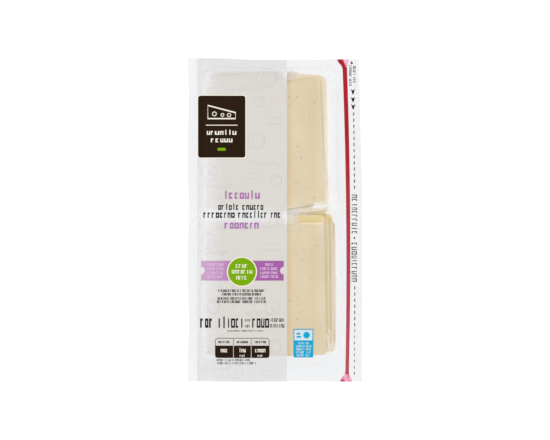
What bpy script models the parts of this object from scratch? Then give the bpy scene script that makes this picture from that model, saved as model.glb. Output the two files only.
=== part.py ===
"""Shut pack of sliced cheese: two stacks in a clear formed pouch with a red press-to-close strip.

The pack lies on its formed back with the printed face up. Metres, +Z up, +Y towards the pack's top
edge, +X towards the edge with the press-to-close strip. The origin is on the ground, under the middle
of the pack's outline.
"""

import math

import bmesh
import bpy

# Outline of the sealed films
PACK_WIDTH = 0.1328
PACK_LENGTH = 0.2462
TOP_EDGE_DIP = 0.0014        # how far the top edge sags between its corners
RIGHT_EDGE_PULL = 0.0021     # how far the right edge is drawn in at its top end
RIGHT_PULL_START = 0.004     # height on the pack where the right edge starts to draw in
SIDE_RIPPLE = 0.0004         # unevenness of the cut edges

# Slices
SLICE_THICKNESS = 0.0022
SLICES_PER_STACK = 12
FILM_ALLOWANCE = 0.0008      # both films, above and below a stack

# Flat tops of the two stacks: left, right, bottom and top edge of the uppermost slice
UPPER_STACK = (-0.0525, 0.0375, 0.0098, 0.1060)
LOWER_STACK = (-0.0515, 0.0385, -0.1036, -0.0036)
GAP_MIDDLE = 0.0036          # middle of the gap between the stacks

# Formed pocket: its rim, where it meets the flange
RIM_LEFT = -0.0575
RIM_RIGHT = 0.0488
RIM_BOTTOM = -0.1094
RIM_TOP = 0.1163
CORNER_RADIUS = 0.0115
BASE_RADIUS = 0.0035
WALL_DRAFT = 0.0028          # each wall leans in by this much down to the base
RIGHT_DRAFT = 0.0008         # the wall beside the strip is nearly upright
WAIST_DEPTH = 0.0026         # how far the walls are drawn in between the stacks
WAIST_HALF = 0.0062          # half the length of that waist
BASE_GROOVE = 0.0030         # how far the base is drawn up between the stacks
WAIST_CUTS = 8

# How taut the front film is over the gap, where 1 is level with the stacks: under the printed panel,
# beside it to the right, and where it slackens
TAUT_LEFT = 0.85
TAUT_RIGHT = 0.30
TAUT_TURN = (0.006, 0.020)

# Seal flange round the pocket
FLANGE_UNDERSIDE = 0.0240
FLANGE_THICKNESS = 0.0008
FLANGE_DROOP = 0.0010        # how far the free edge hangs
FLANGE_WAVE = 0.0004
POCKET_BITE = 0.0004         # how far the pocket's block reaches up into the flange

# Press-to-close strip
STRIP_WIDTHS = (0.0026, 0.0034)  # at the bottom and at the top
STRIP_THICKNESS = 0.0013
STRIP_X = 0.0559             # where it lies at its straightest
STRIP_BOW = 0.0022           # how far its ends bend towards the pocket
STRIP_BOW_MIDDLE = -0.030
CRUSHED_THICKNESS = 0.0006
CRUSHED_LENGTH = 0.0078      # length of each flattened end
TOP_FLARE = (0.0039, 0.0017)     # extra width at the very top end, to the left and to the right
BOTTOM_FLARE = (0.0037, 0.0025)  # extra width at the very bottom end
CLEARANCE = 0.0003

# Fineness of the faces
LID_CELLS = (44, 66)
STRIP_CELLS = (4, 64)

FLANGE_TOP = FLANGE_UNDERSIDE + FLANGE_THICKNESS
STACK_HEIGHT = SLICES_PER_STACK * SLICE_THICKNESS
LID_TOP = STACK_HEIGHT + FILM_ALLOWANCE


def smooth(value, start, end):
    """0 before start, 1 after end, with a soft ramp between them."""
    t = min(1.0, max(0.0, (value - start) / (end - start)))
    return t * t * (3.0 - 2.0 * t)


def mix(a, b, t):
    return a + (b - a) * t


# Outline

def top_edge(x):
    across = x / PACK_WIDTH + 0.5
    return PACK_LENGTH / 2 - TOP_EDGE_DIP * smooth(across, 0.12, 0.42) * (1 - 0.5 * smooth(across, 0.6, 0.95))


def bottom_edge(x):
    return -PACK_LENGTH / 2 + SIDE_RIPPLE * (0.5 + 0.5 * math.sin(x * 90.0))


def left_edge(y):
    return -PACK_WIDTH / 2 + SIDE_RIPPLE * (1.0 + math.sin(y * 75.0 + 1.0))


def right_edge(y):
    return PACK_WIDTH / 2 - RIGHT_EDGE_PULL * smooth(y, RIGHT_PULL_START, PACK_LENGTH / 2)


def outline_point(u, v):
    """Place on the pack for shares u across and v along its outline."""
    x = mix(-PACK_WIDTH / 2, PACK_WIDTH / 2, u)
    y = mix(bottom_edge(x), top_edge(x), v)
    return mix(left_edge(y), right_edge(y), u), y


# Heights of the two films

def outside_rim(x, y):
    """Distance outside the pocket's rim, 0 within it."""
    dx = max(RIM_LEFT - x, x - RIM_RIGHT, 0.0)
    dy = max(RIM_BOTTOM - y, y - RIM_TOP, 0.0)
    return math.hypot(dx, dy)


def flange_shift(x, y):
    """Droop and wave of the free flange."""
    free = smooth(outside_rim(x, y), 0.0, 0.014)
    wave = math.sin(x * 130.0 + 0.6) * math.cos(y * 88.0)
    return -FLANGE_DROOP * free + FLANGE_WAVE * free * wave


def across_rise(x, left, right):
    """1 over the width of a stack, falling to 0 at the rim."""
    return smooth(x, RIM_LEFT - 0.002, left + 0.0005) * (1.0 - smooth(x, right - 0.001, RIM_RIGHT + 0.001))


def along_rise(y, low_end, bottom, top, high_end):
    """1 over the length of a stack, falling to 0 at the two ends."""
    return smooth(y, low_end, bottom + 0.002) * (1.0 - smooth(y, top - 0.002, high_end))


def film_rise(x, y):
    """1 on the flat tops of the stacks, 0 at the rim, and part of the way up over the gap."""
    left, right, upper_bottom, upper_top = UPPER_STACK
    lower_left, lower_right, lower_bottom, lower_top = LOWER_STACK
    upper = across_rise(x, left, right) * along_rise(y, GAP_MIDDLE, upper_bottom, upper_top, RIM_TOP)
    lower = across_rise(x, lower_left, lower_right) * along_rise(y, RIM_BOTTOM, lower_bottom, lower_top,
                                                                 GAP_MIDDLE)
    taut = mix(TAUT_LEFT, TAUT_RIGHT, smooth(x, *TAUT_TURN))
    bridge = taut * across_rise(x, left, right) * along_rise(y, RIM_BOTTOM, lower_bottom, upper_top, RIM_TOP)
    return max(upper, lower, bridge)


def lid_height(x, y):
    return mix(FLANGE_TOP + flange_shift(x, y), LID_TOP, film_rise(x, y))


def flange_underside(x, y):
    return FLANGE_UNDERSIDE + flange_shift(x, y)


# Press-to-close strip

def strip_middle(y):
    return STRIP_X - STRIP_BOW * ((y - STRIP_BOW_MIDDLE) / 0.130) ** 2


def strip_half_width(y):
    return mix(*STRIP_WIDTHS, y / PACK_LENGTH + 0.5) / 2


def strip_point(u, v):
    x_end = STRIP_X
    y = mix(bottom_edge(x_end) + 0.0002, top_edge(x_end) - 0.0002, v)
    at_top = 1.0 - smooth(top_edge(x_end) - y, 0.0, CRUSHED_LENGTH)
    at_bottom = 1.0 - smooth(y - bottom_edge(x_end), 0.0, CRUSHED_LENGTH)
    left = strip_half_width(y) + TOP_FLARE[0] * at_top + BOTTOM_FLARE[0] * at_bottom
    right = strip_half_width(y) + TOP_FLARE[1] * at_top + BOTTOM_FLARE[1] * at_bottom
    return strip_middle(y) + mix(-left, right, u), y


def strip_underside(x, y):
    return FLANGE_TOP + flange_shift(x, y) + CLEARANCE


def strip_height(x, y):
    from_end = min(top_edge(x) - y, y - bottom_edge(x))
    thickness = mix(CRUSHED_THICKNESS, STRIP_THICKNESS, smooth(from_end, 0.003, CRUSHED_LENGTH))
    side = abs(x - strip_middle(y)) / strip_half_width(y)
    rounding = 0.35 * STRIP_THICKNESS * smooth(side, 0.4, 1.0) * smooth(from_end, 0.003, CRUSHED_LENGTH)
    return strip_underside(x, y) + thickness - rounding


# Making the pieces

def clear_scene():
    for item in list(bpy.data.objects):
        bpy.data.objects.remove(item, do_unlink=True)


def collection(name):
    made = bpy.data.collections.new(name)
    bpy.context.scene.collection.children.link(made)
    return made


def material(name, colour, roughness, metallic=0.0):
    made = bpy.data.materials.new(name)
    made.use_nodes = True
    shader = made.node_tree.nodes["Principled BSDF"]
    shader.inputs["Base Color"].default_value = (*colour, 1.0)
    shader.inputs["Roughness"].default_value = roughness
    shader.inputs["Metallic"].default_value = metallic
    return made


def finish_object(name, bm, group, surface):
    bmesh.ops.recalc_face_normals(bm, faces=bm.faces[:])
    mesh = bpy.data.meshes.new(name)
    bm.to_mesh(mesh)
    bm.free()
    mesh.shade_smooth()
    mesh.set_sharp_from_angle(angle=math.radians(40))
    mesh.materials.append(surface)
    made = bpy.data.objects.new(name, mesh)
    group.objects.link(made)
    return made


def layer(cells, place, underside, upper_side):
    """A closed layer between two height functions, over the places that a grid is mapped to."""
    bm = bmesh.new()
    bmesh.ops.create_grid(bm, x_segments=cells[0], y_segments=cells[1], size=0.5)
    grown = bmesh.ops.extrude_face_region(bm, geom=bm.faces[:])["geom"]
    top_points = {item for item in grown if isinstance(item, bmesh.types.BMVert)}
    for point in bm.verts:
        x, y = place(point.co.x + 0.5, point.co.y + 0.5)
        height = upper_side if point in top_points else underside
        point.co = (x, y, height(x, y))
    return bm


def pocket_block():
    """The formed pocket, full of cheese, up to just inside the flange."""
    top = FLANGE_UNDERSIDE + POCKET_BITE
    bm = bmesh.new()
    bmesh.ops.create_cube(bm, size=1.0)
    for point in bm.verts:
        low = point.co.z < 0
        at_right = point.co.x > 0
        draft = WALL_DRAFT if low else 0.0
        x_draft = RIGHT_DRAFT if low and at_right else draft
        point.co.x = RIM_RIGHT - x_draft if at_right else RIM_LEFT + draft
        point.co.y = RIM_TOP - draft if point.co.y > 0 else RIM_BOTTOM + draft
        point.co.z = 0.0 if low else top
    upright = [e for e in bm.edges if abs(e.verts[0].co.z - e.verts[1].co.z) > top / 2]
    bmesh.ops.bevel(bm, geom=upright, offset=CORNER_RADIUS, offset_type="OFFSET", segments=6,
                    profile=0.5, affect="EDGES")
    base = [e for e in bm.edges if max(v.co.z for v in e.verts) < 1e-6]
    bmesh.ops.bevel(bm, geom=base, offset=BASE_RADIUS, offset_type="OFFSET", segments=3,
                    profile=0.5, affect="EDGES")
    for cut in range(WAIST_CUTS + 1):
        y = GAP_MIDDLE + mix(-WAIST_HALF, WAIST_HALF, cut / WAIST_CUTS)
        bmesh.ops.bisect_plane(bm, geom=bm.verts[:] + bm.edges[:] + bm.faces[:],
                               plane_co=(0.0, y, 0.0), plane_no=(0.0, 1.0, 0.0))
    for point in bm.verts:
        draw_in_waist(point)
    return bm


def draw_in_waist(point):
    """Pull the walls and the base in where the pocket has no cheese behind it."""
    share = 1.0 - smooth(abs(point.co.y - GAP_MIDDLE), 0.0, WAIST_HALF)
    below_rim = 1.0 - smooth(point.co.z, 0.5 * FLANGE_UNDERSIDE, 0.95 * FLANGE_UNDERSIDE)
    middle = (RIM_LEFT + RIM_RIGHT) / 2
    side = 1.0 if point.co.x > middle else -1.0
    near_base = 1.0 - smooth(point.co.z, 0.0, BASE_RADIUS + 0.002)
    point.co.x -= side * WAIST_DEPTH * share * below_rim
    point.co.z += BASE_GROOVE * share * near_base


def main():
    clear_scene()
    pieces = collection("sliced_cheese_pack")
    helpers = collection("helpers")
    film = material("clear_film_over_cheese", (0.78, 0.68, 0.48), 0.25)
    red = material("red_strip", (0.45, 0.02, 0.035), 0.3)

    pouch = finish_object("pouch", layer(LID_CELLS, outline_point, flange_underside, lid_height), pieces, film)
    pocket = finish_object("pocket_block", pocket_block(), helpers, film)
    pocket.hide_render = True
    pocket.display_type = "WIRE"
    join = pouch.modifiers.new("join_pocket", "BOOLEAN")
    join.operation = "UNION"
    join.solver = "EXACT"
    join.object = pocket

    finish_object("zip_strip", layer(STRIP_CELLS, strip_point, strip_underside, strip_height), pieces, red)


main()
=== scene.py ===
"""Looks of a shut pack of sliced cheese: clear films, two stacks of slices, the red strip and the print."""

import math
import random

import bmesh
import bpy
from mathutils import Matrix, Vector, noise


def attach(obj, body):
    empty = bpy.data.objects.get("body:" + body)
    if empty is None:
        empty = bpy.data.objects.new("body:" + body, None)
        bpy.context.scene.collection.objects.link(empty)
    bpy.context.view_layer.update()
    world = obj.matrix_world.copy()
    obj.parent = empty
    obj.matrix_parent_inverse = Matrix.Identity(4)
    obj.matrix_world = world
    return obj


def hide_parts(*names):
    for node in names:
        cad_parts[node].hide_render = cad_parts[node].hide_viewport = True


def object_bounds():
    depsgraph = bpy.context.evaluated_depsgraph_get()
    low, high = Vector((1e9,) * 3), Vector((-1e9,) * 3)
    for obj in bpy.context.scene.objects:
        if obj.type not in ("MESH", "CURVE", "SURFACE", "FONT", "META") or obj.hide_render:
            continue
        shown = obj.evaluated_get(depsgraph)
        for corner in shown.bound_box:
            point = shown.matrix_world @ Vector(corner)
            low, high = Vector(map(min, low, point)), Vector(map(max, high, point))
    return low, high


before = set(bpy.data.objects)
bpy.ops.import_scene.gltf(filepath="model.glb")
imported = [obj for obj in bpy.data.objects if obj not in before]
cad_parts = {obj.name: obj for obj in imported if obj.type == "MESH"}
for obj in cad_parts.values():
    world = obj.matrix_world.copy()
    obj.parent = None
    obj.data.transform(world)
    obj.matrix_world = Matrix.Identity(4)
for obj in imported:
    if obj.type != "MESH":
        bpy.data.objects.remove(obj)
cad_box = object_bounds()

MM = 0.001
BODY = "root"
PHOTO_WIDTH_PX = 550
PX = 0.76 * MM               # width of one picture dot at the lid

# The pack's outline and heights, from the frame
(PACK_LEFT, PACK_FOOT, _), (PACK_RIGHT, PACK_HEAD, PACK_TOP) = (tuple(c) for c in cad_box)
EDGE_INSET = 0.05 * MM       # the films stop this far inside the solid's outline
PACK_WIDTH = PACK_RIGHT - PACK_LEFT - 2 * EDGE_INSET
PACK_LENGTH = PACK_HEAD - PACK_FOOT - 2 * EDGE_INSET
TOP_EDGE_DIP = 1.4 * MM
TOP_DIP_RAMP, TOP_RISE_RAMP = (0.12, 0.42), (0.6, 0.95)      # shares of the width: down, then half up again
RIGHT_EDGE_PULL = 2.1 * MM
RIGHT_PULL_START = 4 * MM
SIDE_RIPPLE = 0.4 * MM
FOOT_WAVE, LEFT_WAVE = 90.0, 75.0       # how tight the waves of two cut edges are, in radians a metre

# The formed pocket
RIM_LEFT, RIM_RIGHT = -57.5 * MM, 48.8 * MM
RIM_FOOT, RIM_HEAD = -109.4 * MM, 116.3 * MM
CORNER_RADIUS = 11.5 * MM
BASE_RADIUS = 3.5 * MM
RIM_RADIUS = 1.0 * MM
WALL_DRAFT = 2.8 * MM
RIGHT_DRAFT = 0.8 * MM
WAIST_DEPTH = 2.6 * MM
WAIST_HALF = 6.2 * MM
BASE_GROOVE = 3.0 * MM
WALL_RIPPLES = (0.05 * MM, 0.12 * MM)         # one that follows the slices, and an uneven one
WALL_SLACK = 0.15 * MM       # how far the wall bends in between its rounded ends
GAP_MIDDLE = 3.6 * MM

# The flange and the films
FLANGE_TOP = 24.8 * MM
FLANGE_DROOP = 1.0 * MM
FLANGE_WAVE = 0.4 * MM
FLANGE_FREE = 14 * MM        # this far out from the rim the flange droops and waves in full
FLANGE_WAVE_TURNS = (130.0, 88.0)       # the same measure as for the cut edges, across and along
TAUT_LEFT, TAUT_RIGHT = 0.85, 0.30      # how level the film is over the gap, under the panel and beside it
TAUT_TURN = (6 * MM, 20 * MM)
FILM_THICKNESS = 0.12 * MM
WEB_GAP = 0.22 * MM          # the back film lies this far under the front film at the seal
LID_INSET = 0.25 * MM        # how far the lid film lies under the pack's highest point
LID_RIPPLE = 0.10 * MM
TENT_HEIGHT, TENT_REACH, TENT_FOLDS = 0.30 * MM, 17 * MM, 7.0     # small ridges at the stacks' corners
CRUMPLE_HEIGHTS = (0.12 * MM, 0.26 * MM)      # creases over the gap, under the panel and beside it
CRUMPLE_HALF = (3 * MM, 8 * MM)         # they are full to this far from its middle, and end here

# The stacks: left, right, foot and head of the uppermost slice
UPPER_STACK = (-52.5 * MM, 37.5 * MM, 9.8 * MM, 106.0 * MM)
LOWER_STACK = (-51.5 * MM, 38.5 * MM, -103.6 * MM, -3.6 * MM)
SLICE_PITCH = 2.2 * MM
SLICE_THICKNESS = 2.14 * MM
SLICES_PER_STACK = 12
FIRST_SLICE_Z = 0.2 * MM

# The press-to-close strip
STRIP_WIDTHS = (2.6 * MM, 3.4 * MM)      # at the foot and at the head
STRIP_THICKNESS = 1.3 * MM
STRIP_X = 55.9 * MM
STRIP_BOW = 2.2 * MM
STRIP_BOW_MIDDLE = -30 * MM
STRIP_HALF_LENGTH = 130 * MM
STRIP_STEPS = (16, 420)      # across and along
STRIP_END_INSET = 0.2 * MM
FILM_OVER_STRIP, STRIP_BLEND = 0.05 * MM, 1.3 * MM       # the film clears the strip, and falls beside it
CRUSHED_THICKNESS = 0.6 * MM
CRUSHED_LENGTH = 7.8 * MM
TOP_FLARE = (3.9 * MM, 1.7 * MM)
BOTTOM_FLARE = (3.7 * MM, 2.5 * MM)
CLEARANCE = 0.3 * MM

# The white printed panel
PANEL_LEFT, PANEL_RIGHT = -59.0 * MM, 9.2 * MM
SLOPE_END = -50.0 * MM       # from here to the right the panel lies flat on the stacks

PRINT_THICKNESS = 0.03 * MM
UNDER_PRINT, MID_PRINT, OVER_PRINT, TOP_PRINT = 0.03 * MM, 0.07 * MM, 0.11 * MM, 0.15 * MM

WHITE_INK = (0.745, 0.747, 0.750)
PANEL_SHADE_INK = (0.68, 0.68, 0.685)          # painted shade on the white ink where nothing pale lies close under it to throw light back up
PANEL_GLARE_INK = (0.86, 0.86, 0.87)         # and painted glare on the white ink where folds whiten the film
PANEL_COVER = 0.50           # how much each side of the white panel hides
INK_GLOSS = 0.03
RIBBON_PALE = (-60 * MM, -14 * MM)      # the ribbon's ink grows from pale to full between these
FILM_GLOSS_IOR = 1.12        # the gloss straight on is faint, as the light comes from the sides
GLOSS_LIMITS = (0.14, 0.04)  # thin film seen along its face still lets most light through: front, back
FILM_TINT = (0.958, 0.964, 0.973)
BACK_FILM_TINT = (0.984, 0.987, 0.990)
SEALED_FILM_TINT = (0.962, 0.963, 0.966)      # the back film where it is welded to the front film
FOLD_SHADE_GREY = (0.60, 0.585, 0.55)
FOLD_AND_GLARE_WHITE = (0.85, 0.84, 0.82)       # what a fold or a loose place of the film looks like; the same white serves as painted glare


# Shape rules

def smooth(value, start, end):
    """0 before start, 1 after end, with a soft ramp between them."""
    t = min(1.0, max(0.0, (value - start) / (end - start)))
    return t * t * (3.0 - 2.0 * t)


def fade(value, start, end):
    """1 before start, 0 after end."""
    return 1.0 - smooth(value, start, end)


def mix(a, b, t):
    return a + (b - a) * t


def rough(x, y, z, scale):
    return noise.noise(Vector((x, y, z)) * scale)


def top_edge(x):
    across = x / PACK_WIDTH + 0.5
    dip = TOP_EDGE_DIP * smooth(across, *TOP_DIP_RAMP)
    return PACK_LENGTH / 2 - dip * (1 - 0.5 * smooth(across, *TOP_RISE_RAMP))


def bottom_edge(x):
    return -PACK_LENGTH / 2 + SIDE_RIPPLE * (0.5 + 0.5 * math.sin(x * FOOT_WAVE))


def left_edge(y):
    return -PACK_WIDTH / 2 + SIDE_RIPPLE * (1.0 + math.sin(y * LEFT_WAVE + 1.0))


def right_edge(y):
    return PACK_WIDTH / 2 - RIGHT_EDGE_PULL * smooth(y, RIGHT_PULL_START, PACK_LENGTH / 2)


def outline_point(u, v):
    x = mix(-PACK_WIDTH / 2, PACK_WIDTH / 2, u)
    y = mix(bottom_edge(x), top_edge(x), v)
    return mix(left_edge(y), right_edge(y), u), y


def outside_rim(x, y):
    dx = max(RIM_LEFT - x, x - RIM_RIGHT, 0.0)
    dy = max(RIM_FOOT - y, y - RIM_HEAD, 0.0)
    return math.hypot(dx, dy)


def flange_shift(x, y):
    free = smooth(outside_rim(x, y), 0.0, FLANGE_FREE)
    wave = math.sin(x * FLANGE_WAVE_TURNS[0] + 0.6) * math.cos(y * FLANGE_WAVE_TURNS[1])
    return -FLANGE_DROOP * free + FLANGE_WAVE * free * wave


def across_rise(x, left, right):
    return smooth(x, RIM_LEFT - 2 * MM, left + 0.5 * MM) * fade(x, right - MM, RIM_RIGHT + MM)


def along_rise(y, low_end, foot, head, high_end):
    return smooth(y, low_end, foot + 2 * MM) * fade(y, head - 2 * MM, high_end)


def film_rise(x, y):
    """1 on the flat tops of the stacks, 0 at the rim, and part of the way up over the gap."""
    left, right, upper_foot, upper_head = UPPER_STACK
    lower_foot, lower_head = LOWER_STACK[2:]
    upper = across_rise(x, left, right) * along_rise(y, GAP_MIDDLE, upper_foot, upper_head, RIM_HEAD)
    lower = across_rise(x, *LOWER_STACK[:2]) * along_rise(y, RIM_FOOT, lower_foot, lower_head, GAP_MIDDLE)
    taut = mix(TAUT_LEFT, TAUT_RIGHT, smooth(x, *TAUT_TURN))
    bridge = taut * across_rise(x, left, right) * along_rise(y, RIM_FOOT, lower_foot, upper_head, RIM_HEAD)
    return max(upper, lower, bridge)


def strip_middle(y):
    return STRIP_X - STRIP_BOW * ((y - STRIP_BOW_MIDDLE) / STRIP_HALF_LENGTH) ** 2


def strip_sides(y):
    """Distance from the strip's middle to its left and right side."""
    at_top = fade(top_edge(STRIP_X) - y, 0.0, CRUSHED_LENGTH)
    at_bottom = fade(y - bottom_edge(STRIP_X), 0.0, CRUSHED_LENGTH)
    half = mix(*STRIP_WIDTHS, y / PACK_LENGTH + 0.5) / 2
    left = half + TOP_FLARE[0] * at_top + BOTTOM_FLARE[0] * at_bottom
    right = half + TOP_FLARE[1] * at_top + BOTTOM_FLARE[1] * at_bottom
    return left, right


def strip_thickness(x, y):
    from_end = min(top_edge(x) - y, y - bottom_edge(x))
    return mix(CRUSHED_THICKNESS, STRIP_THICKNESS, smooth(from_end, 3 * MM, CRUSHED_LENGTH))


def over_strip(x, y):
    """How far the front film is lifted by the strip."""
    left, right = strip_sides(y)
    off = x - strip_middle(y)
    beyond = max(-left - off, off - right, 0.0)
    lift = CLEARANCE + strip_thickness(x, y) + FILM_OVER_STRIP
    return lift * fade(beyond, 0.0, STRIP_BLEND)


CORNERS = [(stack[side], stack[end], -1 if side == 0 else 1, -1 if end == 2 else 1)
           for stack in (UPPER_STACK, LOWER_STACK) for side in (0, 1) for end in (2, 3)]


def tents(x, y):
    """Small ridges of the film that run out from the corners of the stacks."""
    height = 0.0
    for corner_x, corner_y, way_x, way_y in CORNERS:
        dx, dy = x - corner_x, y - corner_y
        reach = math.hypot(dx, dy)
        if reach > TENT_REACH:
            continue
        fold = math.cos(TENT_FOLDS * math.atan2(dy, dx) + 40.0 * corner_x + 23.0 * corner_y)
        share = smooth(reach, 1.5 * MM, 6 * MM) * fade(reach, 7 * MM, TENT_REACH)
        height += TENT_HEIGHT * fold * share
    return height


def crumple(x, y):
    """Creases of the film where it is drawn into the gap between the stacks."""
    within = smooth(x, RIM_LEFT, RIM_LEFT + 6 * MM) * fade(x, RIM_RIGHT - 4 * MM, RIM_RIGHT)
    near = fade(abs(y - GAP_MIDDLE), *CRUMPLE_HALF)
    crease = 1.0 - abs(rough(x, 0.35 * y, 0.011, 230.0)) * 2.2
    height = mix(*CRUMPLE_HEIGHTS, smooth(x, PANEL_RIGHT, PANEL_RIGHT + 4 * MM))
    return height * crease * within * near


def lid_surface(x, y):
    """Height of the outside of the front film."""
    rise = film_rise(x, y)
    level = mix(FLANGE_TOP + flange_shift(x, y), PACK_TOP - LID_INSET, rise)
    loose = 1.0 - rise
    inside = fade(outside_rim(x, y), 0.0, 3 * MM)
    level += loose * inside * (tents(x, y) + crumple(x, y))
    level += loose * LID_RIPPLE * rough(x, 0.4 * y, 0.3, 180.0) + creases(x, y)[0]
    return min(level + over_strip(x, y), PACK_TOP - LID_INSET)


# Whitened places, where the film is folded or stands off the cheese; they also hold painted glare, and
# painted light over
# shaded gaps: middle x and y, half width and half height, slant, strength, and how ragged the border is
MILK_AND_GLARE_PLACES = [
    (12.5, 2.0, 7.0, 8.4, 0.00, 0.52, 1.0),
    (19.0, 7.4, 7.0, 4.0, 0.10, 0.30, 1.0),
    (34.0, 10.8, 8.0, 3.2, 0.10, 0.76, 1.0),
    (43.0, 14.0, 5.4, 12.0, 0.0, 0.60, 0.6),
    (28.0, 6.6, 5.0, 1.6, 0.15, 0.15, 1.0),
    (12.0, 110.6, 7.4, 5.4, -0.10, 0.50, 0.6),
    (28.0, 112.4, 18.0, 3.0, 0.00, 0.35, 0.3),
    (41.6, 60.0, 4.4, 62.0, 0.00, 0.45, 0.1),
    (47.4, -50.0, 4.6, 66.0, 0.00, 0.42, 0.1),
    (44.0, -98.0, 5.0, 7.0, 0.00, 0.35, 0.5),
    (-51.0, 0.0, 10.0, 160.0, 0.00, 0.22, 0.2),
    (-24.0, 3.4, 44.0, 8.0, 0.00, 0.36, 0.4),
    (24.0, 6.0, 13.0, 3.0, 0.00, 0.16, 0.4),
]

# Places where the folds lie in shade, in the same form
SHADED_PLACES = [
    (12.0, 110.0, 7.0, 6.5, 0.00, 1.00, 0.5),
    (14.5, 3.0, 8.0, 7.0, 0.00, 0.60, 0.6),
]

# Sharp creases of the front film: points in mm, width, height, and the strength of the painted highlight
# along the crease
CREASES = [
    ([(39.9, -87.5), (40.6, -92.0), (41.6, -97.0), (41.9, -101.5)], 0.5, 0.22, 0.35),
    ([(41.2, -83.6), (43.4, -88.5), (44.8, -95.0)], 0.5, 0.20, 0.28),
    ([(37.6, -80.0), (38.2, -86.0), (37.0, -92.0)], 0.6, 0.12, 0.10),
    ([(10.0, 114.6), (14.5, 113.6), (19.0, 112.4)], 0.6, 0.15, 0.10),
    ([(20.0, 112.6), (30.0, 113.4), (38.0, 111.2)], 0.7, 0.12, 0.08),
    ([(36.0, 12.0), (42.0, 10.0), (47.0, 11.5)], 0.6, 0.25, 0.25),
    ([(14.0, 9.0), (20.0, 7.4), (27.0, 8.6)], 0.6, 0.20, 0.18),
    ([(24.0, 3.0), (31.0, 5.4), (38.0, 4.4)], 0.6, 0.20, 0.12),
    ([(58.0, -117.5), (61.0, -118.5), (65.0, -118.0)], 0.5, 0.15, 0.10),
]


def to_segment(x, y, start, end):
    """Distance in mm from a place to a straight piece of a crease."""
    way_x, way_y = end[0] - start[0], end[1] - start[1]
    along = ((x - start[0]) * way_x + (y - start[1]) * way_y) / (way_x ** 2 + way_y ** 2)
    along = min(1.0, max(0.0, along))
    return math.hypot(x - start[0] - along * way_x, y - start[1] - along * way_y)


def crease_share(x, y, points, width):
    reach = min(to_segment(x / MM, y / MM, a, b) for a, b in zip(points, points[1:]))
    return fade(reach, 0.0, 2.2 * width)


def near_crease(x, y, points):
    return (points[0][0] - 4 < x / MM < points[-1][0] + 4
            and min(p[1] for p in points) - 4 < y / MM < max(p[1] for p in points) + 4)


def creases(x, y):
    """Height that the sharp creases give the front film, and the painted highlight along them."""
    height = white = 0.0
    for points, width, rise, painted_highlight in CREASES:
        if near_crease(x, y, points):
            share = crease_share(x, y, points, width)
            height = max(height, rise * MM * share)
            white = max(white, painted_highlight * share)
    return height, white


def patches(x, y, places):
    """Share that a list of soft, ragged places gives at a spot."""
    total = 0.0
    drift_x = 2.2 * rough(x, y, 0.1, 230.0) + 1.4 * rough(x, y, 0.5, 620.0)
    drift_y = 2.0 * rough(x, y, 0.9, 240.0) + 1.4 * rough(x, y, 0.7, 600.0)
    patch = rough(x, 0.6 * y, 0.4, 420.0)
    for middle_x, middle_y, half_x, half_y, slant, strength, ragged in places:
        off_x = x / MM - middle_x + drift_x * ragged
        off_y = y / MM - middle_y + drift_y * ragged - slant * off_x
        away = math.sqrt((off_x / half_x) ** 2 + (off_y / half_y) ** 2)
        share = strength * (0.8 + 0.7 * ragged * patch) * fade(away, 0.15, 1.25)
        total += share * (1.0 - total)
    return min(0.8, total)


TEAR_BORDER, TEAR_MILK = (59 * MM, 61 * MM), 0.12        # right of this the film is a little whiter


def milk_and_glare_share(x, y):
    """Share of white that folds and loose places add to the front film, with painted glare and the creases'
    painted highlights.
    """
    return max(patches(x, y, MILK_AND_GLARE_PLACES), TEAR_MILK * smooth(x, *TEAR_BORDER), creases(x, y)[1])


# Small helpers for meshes and objects

def in_scene(name, data):
    made = bpy.data.objects.new(name, data)
    bpy.context.scene.collection.objects.link(made)
    return made


def new_object(name, bm, *finishes):
    mesh = bpy.data.meshes.new(name)
    bm.to_mesh(mesh)
    bm.free()
    for finish in finishes:
        mesh.materials.append(finish)
    return in_scene(name, mesh)


def soften(piece, angle=35.0):
    piece.data.shade_smooth()
    piece.data.set_sharp_from_angle(angle=math.radians(angle))


def put_on(piece, slot_name, *replaced):
    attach(piece, BODY)
    if replaced:
        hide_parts(*replaced)
    return piece


def settle(piece):
    """Turns the piece with its modifiers into a plain mesh."""
    view = bpy.context.evaluated_depsgraph_get()
    settled = bpy.data.meshes.new_from_object(piece.evaluated_get(view))
    piece.modifiers.clear()
    piece.data = settled
    return piece


def modified(piece, kind, name, **values):
    """Puts one modifier to work on a piece."""
    made = piece.modifiers.new(name, kind)
    for key, value in values.items():
        setattr(made, key, value)
    return settle(piece)


def set_point_values(piece, name, rule):
    layer = piece.data.attributes.new(name, "FLOAT", "POINT")
    for item, point in zip(layer.data, piece.data.vertices):
        item.value = rule(point.co.x, point.co.y)


def side_points(start, end, steps):
    return [(mix(start[0], end[0], n / steps), mix(start[1], end[1], n / steps)) for n in range(1, steps)]


def corner_arcs(left, right, foot, head, radius, steps, squareness=0.0):
    """The four corners of a box, between an arc and a square, anticlockwise from the lower right one."""
    arcs = []
    for x, y, start in ((right - radius, foot + radius, -90), (right - radius, head - radius, 0),
                        (left + radius, head - radius, 90), (left + radius, foot + radius, 180)):
        angles = [math.radians(start + 90 * step / steps) for step in range(steps + 1)]
        ways = [(math.cos(angle), math.sin(angle)) for angle in angles]
        reaches = [radius * mix(1.0, 1.0 / max(abs(c), abs(s)), squareness) for c, s in ways]
        arcs.append([(x + reach * c, y + reach * s) for reach, (c, s) in zip(reaches, ways)])
    return arcs


def box_outline(arcs, side_steps):
    """Joins the corners of a box by points along its sides: steps for the long ones, then the short ones."""
    points = []
    for n, arc in enumerate(arcs):
        points += arc + side_points(arc[-1], arcs[(n + 1) % 4][0], side_steps[n % 2])
    return points


def join_loops(bm, loops):
    """Faces between closed loops of points, each joined to the next."""
    faces = []
    for first, second in zip(loops, loops[1:]):
        for n in range(len(first)):
            after = (n + 1) % len(first)
            faces.append(bm.faces.new((first[n], second[n], second[after], first[after])))
    return faces


# Node trees, written as plain sums

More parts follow.
